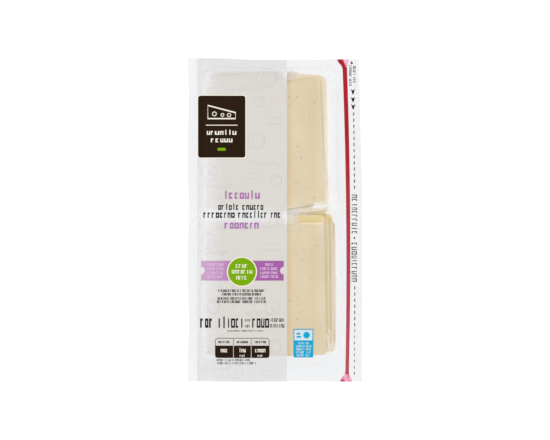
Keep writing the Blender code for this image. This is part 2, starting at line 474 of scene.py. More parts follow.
class Wire:
    """An output of a node. Adding or multiplying wires places the math nodes."""

    def __init__(self, socket):
        self.socket = socket
        self.tree = socket.id_data

    def of(self, label):
        """Another output of the same node."""
        return Wire(self.socket.node.outputs[label])

    def held(self):
        """The same value, kept between 0 and 1."""
        self.socket.node.use_clamp = True
        return self

    def math(self, operation, other=None):
        return add(self.tree, "ShaderNodeMath", {0: self, 1: other}, operation=operation)

    def __add__(self, other):
        return self.math("ADD", other)

    def __sub__(self, other):
        return self.math("SUBTRACT", other)

    def __rsub__(self, other):
        return add(self.tree, "ShaderNodeMath", {0: other, 1: self}, operation="SUBTRACT")

    def __mul__(self, other):
        return self.math("MULTIPLY", other)

    def __truediv__(self, other):
        return self.math("DIVIDE", other)


def join(value, socket):
    """Joins a wire to a socket, or sets the socket's own value."""
    if isinstance(value, Wire):
        socket.id_data.links.new(value.socket, socket)
    elif socket.type == "RGBA":
        socket.default_value = (*value, 1.0)
    else:
        socket.default_value = value


def add(tree, kind, inputs=(), **settings):
    """Adds a node with its settings, joins its inputs by name or number, and gives back its first output."""
    made = tree.nodes.new(kind)
    for key, value in settings.items():
        setattr(made, key, value)
    for key, value in dict(inputs).items():
        if value is not None:
            join(value, made.inputs[key])
    return Wire(made.outputs[0])


def feed(made, **inputs):
    """Joins the inputs of a node by name, with _ for a space."""
    for key, value in inputs.items():
        join(value, made.inputs[key.replace("_", " ")])


def open_tree(kind, name, takes, gives):
    """Starts a node tree: gives back the tree, its inputs as wires, and the node at its end."""
    tree = bpy.data.node_groups.new(name, kind)
    for way, sockets in (("INPUT", takes), ("OUTPUT", gives)):
        for label, socket_kind, *value in sockets:
            made = tree.interface.new_socket(label, in_out=way, socket_type="NodeSocket" + socket_kind)
            if value:
                made.default_value = value[0]
    start, end = tree.nodes.new("NodeGroupInput"), tree.nodes.new("NodeGroupOutput")
    return tree, {socket.name: Wire(socket) for socket in start.outputs if socket.name}, end


def axes(place):
    """The x, y and z of a place."""
    spot = add(place.tree, "ShaderNodeSeparateXYZ", {0: place})
    return [spot.of(n) for n in range(3)]


def vector_math(operation, first, second):
    return add(first.tree, "ShaderNodeVectorMath", {0: first, 1: second}, operation=operation)


def noise_at(place, scale, detail=2.0):
    return add(place.tree, "ShaderNodeTexNoise", {"Vector": place, "Scale": scale, "Detail": detail,
                                                  "Roughness": 0.5})


def colour_mix(share, first, second):
    return add(share.tree, "ShaderNodeMix", {0: share, 6: first, 7: second}, data_type="RGBA").of(2)


def colour_ramp(value, stops):
    """Colours along a value; the first two stops are its two ends."""
    made = add(value.tree, "ShaderNodeValToRGB", {0: value})
    elements = made.socket.node.color_ramp.elements
    for index, (at, colour) in enumerate(stops):
        stop = elements[index] if index < 2 else elements.new(at)
        stop.position, stop.color = at, (*colour, 1.0)
    return made


# Shader groups

def make_mottle_group():
    """Two colours laid over each other in soft clouds, with a height for a bump."""
    tree, takes, end = open_tree(
        "ShaderNodeTree", "soft_mottle",
        [("Place", "Vector"), ("Main Colour", "Color"), ("Cloud Colour", "Color"), ("Scale", "Float", 40.0),
         ("Strength", "Float", 0.5)],
        [("Colour", "Color"), ("Mask", "Float"), ("Height", "Float")])
    clouds = noise_at(takes["Place"], takes["Scale"], 3.0)
    share = ((clouds - 0.35) * takes["Strength"] * 3.0).held()
    feed(end, Colour=colour_mix(share, takes["Main Colour"], takes["Cloud Colour"]), Mask=share,
         Height=noise_at(takes["Place"], takes["Scale"] * 9.0))
    return tree


def make_milk_glare_sheen_group():
    """How much a film hides at a spot: its own veil, thin streaks of painted sheen, and the whitened places
    with their painted glare.
    """
    tree, takes, end = open_tree(
        "ShaderNodeTree", "film_milk_glare_and_sheen",
        [("Place", "Vector"), ("Milky", "Float", 0.0), ("Veil", "Float", 0.01), ("Streak", "Float", 0.02)],
        [("Share", "Float"), ("Roughness", "Float"), ("Height", "Float")])
    streaks = noise_at(vector_math("MULTIPLY", takes["Place"], (1.0, 0.16, 1.0)), 260.0, 3.0)
    uneven = noise_at(takes["Place"], 700.0, 3.0) * 0.4 + 0.8
    base = takes["Veil"] + (streaks - 0.5).held() * takes["Streak"]
    share = (base + takes["Milky"] * uneven).held()
    feed(end, Share=share, Roughness=share * 0.4 + 0.12, Height=streaks)
    return tree


def make_ink_group():
    """Printed ink: a colour with faint thin spots, and a roughness that follows them."""
    tree, takes, end = open_tree(
        "ShaderNodeTree", "print_ink",
        [("Place", "Vector"), ("Ink", "Color"), ("Thin Ink", "Color"), ("Thin Share", "Float", 0.3)],
        [("Colour", "Color"), ("Roughness", "Float")])
    grain = noise_at(takes["Place"], 1400.0)
    share = (grain * takes["Thin Share"]).held()
    feed(end, Colour=colour_mix(share, takes["Ink"], takes["Thin Ink"]), Roughness=grain * 0.2 + 0.3)
    return tree


MOTTLE = make_mottle_group()
MILK_GLARE_SHEEN = make_milk_glare_sheen_group()
INK = make_ink_group()


# Materials

def linear(*srgb):
    """Colour for a shader from a colour as seen, 0 to 255."""
    return tuple((v / 255 / 12.92 if v <= 10 else ((v / 255 + 0.055) / 1.055) ** 2.4) for v in srgb)


def new_material(name):
    made = bpy.data.materials.new(name)
    made.use_nodes = True
    tree = made.node_tree
    return made, tree, tree.nodes["Principled BSDF"], add(tree, "ShaderNodeTexCoord").of("Object")


def use_group(tree, group, **inputs):
    made = add(tree, "ShaderNodeGroup", node_tree=group)
    feed(made.socket.node, **inputs)
    return made


def point_value(tree, name):
    return add(tree, "ShaderNodeAttribute", attribute_name=name).of("Fac")


def add_bump(shader, height, strength, distance):
    feed(shader, Normal=add(shader.id_data, "ShaderNodeBump",
                            {"Strength": strength, "Distance": distance, "Height": height}))


def lit_share(tree, passed):
    """1 for what is seen, less for light on its way, as film and ink pass on light that they scatter."""
    return 1.0 - add(tree, "ShaderNodeLightPath").of("Is Shadow Ray") * passed


# Soft bands of painted shade on the cheese across the pack: where they start, how far they reach, and place
# and strength
BAND_START, BAND_REACH = 8 * MM, 34 * MM
SHADE_BANDS = ((0.0, 0.2), (1.0, 0.2), (0.06, 0.8), (0.17, 0.0), (0.42, 0.10), (0.64, 0.32), (0.78, 0.0))
BAND_SHADE_TONE = linear(222, 194, 148)
BOUNCE_LIGHT_BELOW, BOUNCE_LIGHT_REACH = 24 * MM, 8 * MM     # the slices deeper than this are painted warmer and lighter, painted light for the light bounced between them
BOUNCE_LIGHT_TONE = linear(250, 231, 186)
GOLD_MIDDLE, GOLD_REACH = 1.8 * MM, 6.4 * MM      # light thrown from stack to stack makes this place golden
GOLD_STRETCH, GOLD_STRENGTH = 1.3, 2.6
GOLD_TONE = linear(238, 212, 122)


def cheese_material(name, main, cloud, painted_light):
    """Pale cheese with soft clouds, soft bands of painted shade along the pack, a warmer, lighter tone
    painted low in the stack as bounced light, and painted golden light between the stacks.
    """
    made, tree, shader, place = new_material(name)
    mottle = use_group(tree, MOTTLE, Place=place, Main_Colour=main, Cloud_Colour=cloud, Scale=46.0)
    x, y, z = axes(place)
    # painted shade: soft darker bands across the cheese
    bands = colour_ramp((x - BAND_START) / BAND_REACH, [(at, (share,) * 3) for at, share in SHADE_BANDS])
    wander = noise_at(place, 30.0)
    colour = colour_mix((bands * (wander + 0.4)).held(), mottle, BAND_SHADE_TONE)
    # painted bounced light: the deeper slices turn warmer and lighter
    colour = colour_mix(((BOUNCE_LIGHT_BELOW - z) / BOUNCE_LIGHT_REACH).held() * painted_light, colour, BOUNCE_LIGHT_TONE)
    away = (y - GOLD_MIDDLE).math("ABSOLUTE")
    near = (GOLD_STRETCH - away / (GOLD_REACH / GOLD_STRETCH)).held()
    golden = (near * (wander * (GOLD_STRENGTH * painted_light))).held()
    feed(shader, Base_Color=colour_mix(golden, colour, GOLD_TONE), Roughness=0.38, Subsurface_Weight=0.25,
         Subsurface_Radius=(1.0, 0.8, 0.5), Subsurface_Scale=2 * MM)
    add_bump(shader, mottle.of("Height"), 0.25, 0.12 * MM)
    return made


def film_material(name, veil, streak, tint, gloss_limit):
    """Clear film: mostly see-through, with a soft gloss that grows at a slant; its white share carries
    painted glare and painted sheen streaks, greyed to painted shade in the shaded places.
    """
    made, tree, shader, place = new_material(name)
    milk = use_group(tree, MILK_GLARE_SHEEN, Place=place, Milky=point_value(tree, "milk_and_glare"), Veil=veil, Streak=streak)
    # painted glare in white, turned to painted shade in grey where the folds lie in shade
    feed(shader, Base_Color=colour_mix(point_value(tree, "shaded"), FOLD_AND_GLARE_WHITE, FOLD_SHADE_GREY),
         Roughness=milk.of("Roughness"), Specular_IOR_Level=0.35)
    add_bump(shader, milk.of("Height"), 0.2, 0.3 * MM)
    gloss = add(tree, "ShaderNodeFresnel", {"IOR": FILM_GLOSS_IOR}).math("MINIMUM", gloss_limit)
    share = (milk + gloss).held() * lit_share(tree, 1.0)
    clear = add(tree, "ShaderNodeBsdfTransparent", {"Color": tint})
    blend = add(tree, "ShaderNodeMixShader", {0: share, 1: clear, 2: Wire(shader.outputs[0])})
    feed(tree.nodes["Material Output"], Surface=blend)
    return made


def white_panel_material():
    """White ink on the film, a little see-through, with faint clouds, painted shade where the film stands off
    the cheese and painted glare in the whitened places.
    """
    made, tree, shader, place = new_material("white_printed_film")
    # loose carries the whitening of the film and its painted glare; below, painted shade where the film
    # stands off the cheese
    loose = point_value(tree, "milk_and_glare")
    colour = colour_mix(point_value(tree, "standing_off"), WHITE_INK, PANEL_SHADE_INK)
    cover = (noise_at(place, 30.0) * 0.06 + loose + PANEL_COVER).held()
    feed(shader, Base_Color=colour_mix((loose * 2.0).held(), colour, PANEL_GLARE_INK), Roughness=0.4,
         Specular_IOR_Level=INK_GLOSS, Alpha=cover * lit_share(tree, 0.7))
    return made


def ink_material(name, ink, thin, pale=None, thin_share=0.3, alpha=1.0):
    """Printed ink in two tones as seen; a third, pale one is where the ribbon's ink starts on the left."""
    made, tree, shader, place = new_material(name)
    ink = linear(*ink)
    if pale:
        across = add(tree, "ShaderNodeMapRange", interpolation_type="SMOOTHSTEP")
        feed(across.socket.node, Value=axes(place)[0], From_Min=RIBBON_PALE[0], From_Max=RIBBON_PALE[1])
        ink = colour_mix(across, linear(*pale), ink)
    group = use_group(tree, INK, Place=place, Ink=ink, Thin_Ink=linear(*thin), Thin_Share=thin_share)
    feed(shader, Base_Color=group, Roughness=group.of("Roughness"), Specular_IOR_Level=INK_GLOSS, Alpha=alpha)
    return made


PALER_FROM, PALER_REACH = 60 * MM, 190 * MM       # the strip pales towards the foot
PALER_RED, FOLD_RED = linear(198, 84, 94), linear(150, 0, 24)
CRUSHED_TONES = ((0.0, linear(172, 0, 20)), (1.0, linear(246, 208, 220)), (0.35, linear(250, 110, 122)),
                 (0.7, linear(248, 150, 176)))


def strip_material():
    """Red plastic that turns pink and pale where it is crushed, with darker folds."""
    made, tree, shader, place = new_material("red_press_strip")
    crush = point_value(tree, "crush")
    mottle = use_group(tree, MOTTLE, Place=place, Main_Colour=linear(186, 18, 38),
                       Cloud_Colour=linear(170, 10, 30), Scale=90.0)
    paler = ((PALER_FROM - axes(place)[1]) / PALER_REACH).held()
    colour = colour_mix(paler, mottle, PALER_RED)
    colour = colour_mix((crush * 40.0).held(), colour, colour_ramp(crush, CRUSHED_TONES))
    feed(shader, Base_Color=colour_mix(point_value(tree, "fold"), colour, FOLD_RED), Roughness=0.35,
         Specular_IOR_Level=0.04)
    return made


TOP_CHEESE = cheese_material("pale_cheese", linear(233, 216, 182), linear(221, 200, 161), 0.0)
# the slices under the top ones get a brighter copy of the cheese, painted light against the shade deep in the
# stacks
BRIGHTENED_STACK_CHEESE = cheese_material("stack_cheese_with_painted_light", linear(238, 224, 194), linear(231, 211, 174), 0.5)
# the clear film's streak share paints sheen streaks onto it
CLEAR_FILM = film_material("clear_film", 0.002, 0.02, FILM_TINT, GLOSS_LIMITS[0])
BACK_FILM = film_material("clear_back_film", 0.001, 0.0, BACK_FILM_TINT, GLOSS_LIMITS[1])
SEALED_FILM = film_material("clear_sealed_film", 0.001, 0.0, SEALED_FILM_TINT, GLOSS_LIMITS[1])
WHITE_FILM = white_panel_material()
RED = strip_material()
DARK_INK = ink_material("dark_brown_print", (38, 24, 13), (52, 34, 22))
CREAM_INK = ink_material("cream_print", (238, 232, 216), (228, 222, 206))
LILAC_INK = ink_material("lilac_print", (168, 104, 170), (186, 132, 188))
RIBBON_INK = ink_material("lilac_ribbon_print", (156, 88, 156), (174, 120, 174), pale=(202, 166, 200))
GREEN_INK = ink_material("green_print", (114, 164, 2), (126, 174, 18))
BLUE_INK = ink_material("blue_print", (2, 157, 201), (44, 174, 208))
PALE_BLUE_INK = ink_material("pale_blue_print", (206, 222, 222), (196, 214, 218))
PALE_LILAC_INK = ink_material("pale_lilac_print", (218, 188, 218), (206, 172, 206))
TEXT_INK = ink_material("dark_text_print", (30, 22, 18), (50, 40, 34))
FAINT_INK = ink_material("faint_grey_print", (176, 180, 180), (190, 192, 192), alpha=0.09)


# Front film

LID_SECTIONS = [(PACK_LEFT, 8), (PANEL_LEFT, 15), (SLOPE_END, 30), (PANEL_RIGHT, 58), (PACK_RIGHT, 0)]
LID_ROWS = 246


def lid_columns():
    """Where the lid's columns stand, fine on the slopes and coarse on the flat part of the panel."""
    columns = []
    for (start, cells), (end, _) in zip(LID_SECTIONS, LID_SECTIONS[1:]):
        columns += [start + (end - start) * n / cells for n in range(cells)]
    return columns + [PACK_RIGHT]


def lid_point(x, v):
    """Moves the outer columns to the cut edges and leaves the panel's sides straight."""
    y = mix(bottom_edge(x), top_edge(x), v)
    if x < PANEL_LEFT:
        x = mix(left_edge(y), PANEL_LEFT, (x - PACK_LEFT) / (PANEL_LEFT - PACK_LEFT))
    elif x > PANEL_RIGHT:
        x = mix(PANEL_RIGHT, right_edge(y), (x - PANEL_RIGHT) / (PACK_RIGHT - PANEL_RIGHT))
    return x, y


def as_film(piece):
    """Gives a surface the thickness of the film and puts it in place of the solid."""
    modified(piece, "SOLIDIFY", "film_thickness", thickness=FILM_THICKNESS, offset=-1.0)
    soften(piece)
    return put_on(piece, "clear_film", "pouch")


def make_lid():
    columns = lid_columns()
    bm = bmesh.new()
    grid = []
    for row in range(LID_ROWS + 1):
        places = [lid_point(x, row / LID_ROWS) for x in columns]
        grid.append([bm.verts.new((x, y, lid_surface(x, y))) for x, y in places])
    for low, high in zip(grid, grid[1:]):
        for n, x in enumerate(columns[:-1]):
            face = bm.faces.new((low[n], low[n + 1], high[n + 1], high[n]))
            face.material_index = 1 if PANEL_LEFT <= x < PANEL_RIGHT else 0
    lid = new_object("lid_film", bm, CLEAR_FILM, WHITE_FILM)
    set_point_values(lid, "milk_and_glare", milk_and_glare_share)
    set_point_values(lid, "shaded", lambda x, y: patches(x, y, SHADED_PLACES))
    # the white ink is painted with shade where the film stands off the cheese
    set_point_values(lid, "standing_off", lambda x, y: 1.0 - film_rise(x, y))
    return as_film(lid)


# Back film with its formed pocket

SIDE_STEPS = (92, 46)        # steps along a long and a short side
# How far out the loops of the base lie, closer together in the groove
BASE_SHARES = [1 - n / 12 for n in range(1, 11)] + [0.12, 0.09, 0.07, 0.055, 0.042, 0.03, 0.018, 0.008]
CORNER_STEPS = 14
FLANGE_LOOPS = 8
RIM_STEPS, WALL_STEPS, BASE_STEPS = 3, 30, 6
POCKET_MILK_FROM = 55 * MM   # the back film takes half the front film's whitening and painted glare to the right of this
RIM_LEAN = 0.6               # how far the rounded rim reaches inwards, as a share of its radius


def loop_of_pack(left, right, foot, head, radius, squareness=0.0):
    return box_outline(corner_arcs(left, right, foot, head, radius, CORNER_STEPS, squareness), SIDE_STEPS)


def web_height(x, y):
    """Height of the back film on the flange."""
    lift = 0.3 * over_strip(x, y)
    return FLANGE_TOP + flange_shift(x, y) - LID_INSET - WEB_GAP + lift


def pocket_rings():
    """Loops of points from the pack's edge over the flange, down the wall and across the base."""
    half_w, half_l = PACK_WIDTH / 2, PACK_LENGTH / 2
    outer = [outline_point(x / PACK_WIDTH + 0.5, y / PACK_LENGTH + 0.5)
             for x, y in loop_of_pack(-half_w, half_w, -half_l, half_l, CORNER_RADIUS, 1.0)]
    rim = loop_of_pack(RIM_LEFT, RIM_RIGHT, RIM_FOOT, RIM_HEAD, CORNER_RADIUS)
    rings = []
    for step in range(FLANGE_LOOPS):
        t = step / FLANGE_LOOPS
        flat = [(mix(a[0], b[0], t), mix(a[1], b[1], t)) for a, b in zip(outer, rim)]
        rings.append([(x, y, web_height(x, y)) for x, y in flat])
    top = FLANGE_TOP - LID_INSET - WEB_GAP
    for sine, rest in quarter(RIM_STEPS):
        rings.append(wall_ring(top - RIM_RADIUS * rest, RIM_RADIUS * sine * RIM_LEAN))
    for step in range(1, WALL_STEPS):
        rings.append(wall_ring(mix(top - RIM_RADIUS, BASE_RADIUS, step / WALL_STEPS)))
    for sine, rest in quarter(BASE_STEPS):
        rings.append(wall_ring(BASE_RADIUS * (1 - sine), None, BASE_RADIUS * rest))
    last = rings[-1]
    middle = ((RIM_LEFT + RIM_RIGHT) / 2, (RIM_FOOT + RIM_HEAD) / 2)
    for t in BASE_SHARES:
        rings.append([draw_in(mix(middle[0], x, t), mix(middle[1], y, t), 0.0) for x, y, _ in last])
    return rings, middle


def quarter(steps):
    """A quarter turn in steps: how far it has risen, and how far it has moved in."""
    angles = [math.radians(90 * step / steps) for step in range(steps + 1)]
    return [(math.sin(angle), 1 - math.cos(angle)) for angle in angles]


def wall_ring(z, inset=None, base_inset=0.0):
    """One loop of the wall at a height, drawn in by the draft where no inset is given."""
    down = 1.0 - z / FLANGE_TOP
    left = (WALL_DRAFT * down if inset is None else inset) + base_inset
    right = RIGHT_DRAFT * down + base_inset
    loop = loop_of_pack(RIM_LEFT + left, RIM_RIGHT - right, RIM_FOOT + left, RIM_HEAD - left,
                        CORNER_RADIUS - base_inset * 0.5)
    return [draw_in(x, y, z) for x, y in loop]


def draw_in(x, y, z):
    """Waist between the stacks, fine ripples on the wall, and the groove across the base."""
    share = fade(abs(y - GAP_MIDDLE), 0.0, WAIST_HALF)
    below_rim = fade(z, 0.5 * FLANGE_TOP, 0.95 * FLANGE_TOP)
    middle = (RIM_LEFT + RIM_RIGHT) / 2
    side = max(-1.0, min(1.0, (x - middle) / (8 * MM)))
    near_base = fade(z, 0.0, BASE_RADIUS + 2 * MM)
    on_wall = smooth(z, BASE_RADIUS, BASE_RADIUS + MM) * fade(z, 20 * MM, 24 * MM)
    ripple = WALL_RIPPLES[0] * math.sin(z / SLICE_PITCH * math.tau)
    ripple += WALL_RIPPLES[1] * rough(x, y, z * 0.25, 190.0)
    x -= side * WAIST_DEPTH * share * below_rim + side * (ripple + WALL_SLACK) * on_wall
    return x, y, z + BASE_GROOVE * share * near_base


def make_pocket():
    rings, middle = pocket_rings()
    bm = bmesh.new()
    loops = [[bm.verts.new(point) for point in ring] for ring in rings]
    count = len(loops[0])
    for face in join_loops(bm, loops)[:FLANGE_LOOPS * count]:
        face.material_index = 1
    hub = bm.verts.new(draw_in(*middle, 0.0))
    for n in range(count):
        bm.faces.new((loops[-1][n], hub, loops[-1][(n + 1) % count]))
    pocket = new_object("pocket_film", bm, BACK_FILM, SEALED_FILM)
    set_point_values(pocket, "milk_and_glare", lambda x, y: 0.5 * milk_and_glare_share(x, y) if x > POCKET_MILK_FROM else 0.0)
    return as_film(pocket)


# Slices

SLICE_WIDTH = 90 * MM
UPPER_LENGTH = 95.5 * MM
LOWER_LENGTH = 99.5 * MM
SLICE_CORNER = 1.8 * MM
SLICE_CORNER_STEPS, SLICE_SIDE_STEPS = 5, (24, 24)
EDGE_ROUNDING = 0.45 * MM


def slice_shape(**sizes):
    """How a slice differs from a plain rectangle: sizes in mm, and 0 for what isn't named."""
    plain = dict.fromkeys(("fall", "foot_rise", "foot_drop"), 0.0)
    return {**plain, **{name: size * MM for name, size in sizes.items()}}


# How the two top slices differ from a plain rectangle: the right side leans out towards the foot, the
# head edge falls away to the left and rises to the right, the foot edge rises to the right
UPPER_SHAPE = slice_shape(side_bow=-0.9, end_bow=0.9, lean=3.1, fall=3.4, head_rise=1.6, foot_rise=4.0,
                          foot_drop=1.0)
LOWER_SHAPE = slice_shape(side_bow=0.3, end_bow=0.9, lean=0.8, fall=3.8, head_rise=1.6, foot_rise=0.4)
UPPER_REST_SHAPE = slice_shape(side_bow=-0.2, end_bow=0.4, lean=1.0, fall=-1.4, head_rise=-1.2)
LOWER_REST_SHAPE = slice_shape(side_bow=0.5, end_bow=0.3, lean=0.4, head_rise=0.4)
REST_LENGTH = 97 * MM
UPPER_REST_CORNER, LOWER_REST_CORNER = 6.5 * MM, 3.8 * MM
FALL_START, FALL_END = 9 * MM, 31 * MM


def slice_outline(width, length, shape, corner):
    """Outline of one slice about its middle: soft corners, sides that swell a little."""
    half_w, half_l = width / 2, length / 2
    arcs = corner_arcs(-half_w, half_w, -half_l, half_l, corner, SLICE_CORNER_STEPS)
    shaped = []
    for x, y in box_outline(arcs, SLICE_SIDE_STEPS):
        head, foot = smooth(y, 0.0, half_l), smooth(-y, 0.0, half_l)
        right = smooth(x, 10 * MM, half_w)
        out = shape["side_bow"] * (1.0 - (y / half_l) ** 2) * x / half_w
        out -= shape["lean"] * y / half_l * smooth(x, 0.0, half_w)
        up = shape["end_bow"] * (1.0 - (x / half_w) ** 2) * y / half_l
        up += head * (shape["head_rise"] * right - shape["fall"] * fade(x, FALL_START, FALL_END))
        up += foot * (shape["foot_rise"] * right - shape["foot_drop"])
        shaped.append((x + out, y + up))
    return shaped


def slice_mesh(name, length, shape, corner):
    bm = bmesh.new()
    outline = slice_outline(SLICE_WIDTH, length, shape, corner)
    face = bm.faces.new([bm.verts.new((x, y, 0.0)) for x, y in outline])
    grown = bmesh.ops.extrude_face_region(bm, geom=[face])["geom"]
    for item in grown:
        if isinstance(item, bmesh.types.BMVert):
            item.co.z += SLICE_THICKNESS
    bmesh.ops.recalc_face_normals(bm, faces=bm.faces[:])
    rims = [e for e in bm.edges if abs(e.verts[0].co.z - e.verts[1].co.z) < 1e-6]
    bmesh.ops.bevel(bm, geom=rims, offset=EDGE_ROUNDING, offset_type="OFFSET", segments=2, profile=0.6,
                    affect="EDGES")
    return new_object(name, bm, TOP_CHEESE)


def geometry_tree(name, takes):
    tree, wires, end = open_tree("GeometryNodeTree", name, [("Geometry", "Geometry"), *takes],
                                 [("Geometry", "Geometry")])
    tree.is_modifier = True
    return tree, wires, end


def run_tree(name, tree, inputs):
    """Runs a tree on an empty mesh and gives back the plain mesh it makes."""
    holder = in_scene(name, bpy.data.meshes.new(name))
    modifier = holder.modifiers.new(tree.name, "NODES")
    modifier.node_group = tree
    sockets = {item.name: item.identifier for item in tree.interface.items_tree
               if item.item_type == "SOCKET" and item.in_out == "INPUT"}
    for label, value in inputs.items():
        modifier[sockets[label]] = value
    return settle(holder)


def vector(tree, x=None, y=None, z=None):
    return add(tree, "ShaderNodeCombineXYZ", enumerate((x, y, z)))


def chance(seed, salt, low, high, kind="FLOAT"):
    """A random value for each point, from the tree's seed."""
    first, out = (2, 1) if kind == "FLOAT" else (4, 2)
    inputs = {first: low, first + 1: high, "Seed": seed + float(salt)}
    return add(seed.tree, "FunctionNodeRandomValue", inputs, data_type=kind).of(out)


def moved(shape, **inputs):
    return add(shape.tree, "GeometryNodeSetPosition", {"Geometry": shape, **inputs})


def points_in_line(count, **inputs):
    made = add(count.tree, "GeometryNodeMeshLine", {"Count": count})
    feed(made.socket.node, **inputs)
    return made


def shape_of(piece):
    return add(piece.tree, "GeometryNodeObjectInfo", {"Object": piece}).of("Geometry")


def copies(points, pattern, **inputs):
    """Puts the pattern on each point and makes the copies real."""
    made = add(points.tree, "GeometryNodeInstanceOnPoints", {"Points": points, "Instance": pattern})
    feed(made.socket.node, **inputs)
    return add(points.tree, "GeometryNodeRealizeInstances", {0: made})


def end_with_finish(shape, finish, end):
    join(add(shape.tree, "GeometryNodeSetMaterial", {"Geometry": shape, "Material": finish}), end.inputs[0])


def lean_curve(share, points):
    """The lean at each height of the stack, read from a curve through a few points given in mm."""
    made = add(share.tree, "ShaderNodeFloatCurve", {"Value": share})
    mapping = made.socket.node.mapping
    curve = mapping.curves[0]
    for index, (at, lean) in enumerate(points):
        place = (at, 0.5 + lean * MM / LEAN_SPAN)
        if index < 2:
            curve.points[index].location = place
        else:
            curve.points.new(*place)
    for point in curve.points:
        point.handle_type = "VECTOR"
    mapping.update()
    return (made - 0.5) * LEAN_SPAN


def stack_tree(name, lean_x, lean_y, longer):
    """A stack of slices, each moved by the lean at its height, turned a little and worn at its edges."""
    tree, takes, end = geometry_tree(name, [
        ("Slice", "Object"), ("Count", "Int"), ("Pitch", "Float"), ("Stray", "Float"), ("Twist", "Float"),
        ("Wear", "Float"), ("Middle", "Vector"), ("Seed", "Int"), ("Finish", "Material")])
    share = add(tree, "GeometryNodeInputIndex") / (takes["Count"] - 1.0)
    line = points_in_line(takes["Count"], Start_Location=takes["Middle"],
                          Offset=vector(tree, z=takes["Pitch"]))
    stray = [chance(takes["Seed"], 17 * salt, -1.0, 1.0) for salt in range(3)]
    moves = [lean_curve(share, lean) + draw * takes["Stray"] for lean, draw in zip((lean_x, lean_y), stray)]
    length = lean_curve(share, longer) / REST_LENGTH + 1.0
    stack = copies(moved(line, Offset=vector(tree, *moves)), shape_of(takes["Slice"]),
                   Rotation=vector(tree, z=stray[2] * takes["Twist"]), Scale=vector(tree, 1.0, length, 1.0))
    spot = add(tree, "GeometryNodeInputPosition")
    uneven = noise_at(vector_math("MULTIPLY", spot, (1.0, 1.0, 12.0)), 60.0, 1.0).of("Color")
    centred = vector_math("SUBTRACT", uneven, (0.5, 0.5, 0.5))
    wear = vector_math("MULTIPLY", centred, vector(tree, takes["Wear"], takes["Wear"]))
    end_with_finish(moved(stack, Offset=wear), takes["Finish"], end)
    return tree


# Lean of the slices under the top one: height in the stack, then how many mm to the right or up the pack
LEAN_SPAN = 20 * MM
UPPER_LEAN_X = [(0.0, 2.0), (1.0, 2.5), (0.45, 3.0), (0.85, 2.2)]
UPPER_LEAN_Y = [(0.0, 2.0), (1.0, 5.1), (0.16, 2.0), (0.25, -2.0), (0.72, -2.2), (0.79, -4.9), (0.81, -4.9),
                (0.89, -3.2), (0.92, -3.2)]
LOWER_LEAN_X = [(0.0, 6.0), (1.0, 0.6), (0.09, 8.0), (0.22, 8.2), (0.28, 6.6), (0.52, 6.0), (0.58, 3.6),
                (0.82, 3.2), (0.88, 1.2)]
LOWER_LEAN_Y = [(0.0, -0.3), (1.0, 5.3), (0.12, -0.3), (0.22, 3.6), (0.34, 6.0), (0.52, 6.2), (0.72, 6.1),
                (0.78, 3.7), (0.82, 3.7), (0.88, 5.8)]
UPPER_LONGER = [(0.0, 0.0), (1.0, 0.0)]      # mm by which the slices at each height are longer
LOWER_LONGER = [(0.0, 0.0), (1.0, 5.0), (0.15, 0.0), (0.32, 5.0)]
UPPER_MIDDLE = (-7.3 * MM, 57.8 * MM)
LOWER_MIDDLE = (-7.0 * MM, -52.9 * MM)
STRAY, TWIST, WEAR = 0.35 * MM, 0.004, 0.5 * MM       # how far slices stray, turn (in radians) and are worn


def make_stack(name, shape, corner, middle, leans, seed):
    pattern = slice_mesh("slice_pattern", REST_LENGTH, shape, corner)
    stack = run_tree(name, stack_tree(name + "_rule", *leans), {
        "Slice": pattern, "Count": SLICES_PER_STACK - 1, "Pitch": SLICE_PITCH,
        "Stray": STRAY, "Twist": TWIST, "Wear": WEAR,
        "Middle": (*middle, FIRST_SLICE_Z), "Seed": seed, "Finish": BRIGHTENED_STACK_CHEESE})
    bpy.data.objects.remove(pattern)
    soften(stack)
    return put_on(stack, "cheese", "pouch")


# Pits in the faces of the cheese, in mm across and up the pack
UPPER_PITS = [(16.9, 93.5), (26.0, 77.5), (19.9, 47.1), (22.2, 39.5), (16.1, 28.1)]
LOWER_PITS = [(22.2, -22.8), (21.4, -29.6), (30.5, -30.4), (26.7, -44.1)]
PIT_RADIUS = (0.45 * MM, 0.8 * MM)
PIT_GAP = 5 * MM
MORE_PITS = 34


def pit_cutter(name, places, z, seed):
    draw = random.Random(seed)
    bm = bmesh.new()
    for x, y in places:
        radius = draw.uniform(*PIT_RADIUS)
        made = bmesh.ops.create_icosphere(bm, subdivisions=2, radius=radius)["verts"]
        bmesh.ops.scale(bm, verts=made, vec=(1.0, draw.uniform(0.8, 1.3), 0.8))
        bmesh.ops.translate(bm, verts=made, vec=(x, y, z - radius * 0.1))
    return new_object(name, bm)


def scattered(stack, count, seed, keep_out):
    """Places for more pits, spread over a slice and clear of each other."""
    draw = random.Random(seed)
    left, right, foot, head = stack
    places = [(x * MM, y * MM) for x, y in keep_out]
    wanted = len(places) + count
    while len(places) < wanted:
        x = draw.uniform(left + PIT_GAP, right - PIT_GAP - MM)
        y = draw.uniform(foot + PIT_GAP, head - PIT_GAP - MM)
        if all(math.hypot(x - a, y - b) > PIT_GAP for a, b in places):
            places.append((x, y))
    return places


def make_top_slice(name, length, shape, middle, stack, pits, seed):
    piece = slice_mesh(name, length, shape, SLICE_CORNER)
    z = FIRST_SLICE_Z + (SLICES_PER_STACK - 1) * SLICE_PITCH
    piece.data.transform(Matrix.Translation((*middle, z)))
    cutter = pit_cutter(name + "_pits", scattered(stack, MORE_PITS, seed, pits), z + SLICE_THICKNESS, seed)
    modified(piece, "BOOLEAN", "pits", operation="DIFFERENCE", solver="EXACT", object=cutter)
    bpy.data.objects.remove(cutter)
    soften(piece)
    return put_on(piece, "cheese", "pouch")


# Press-to-close strip

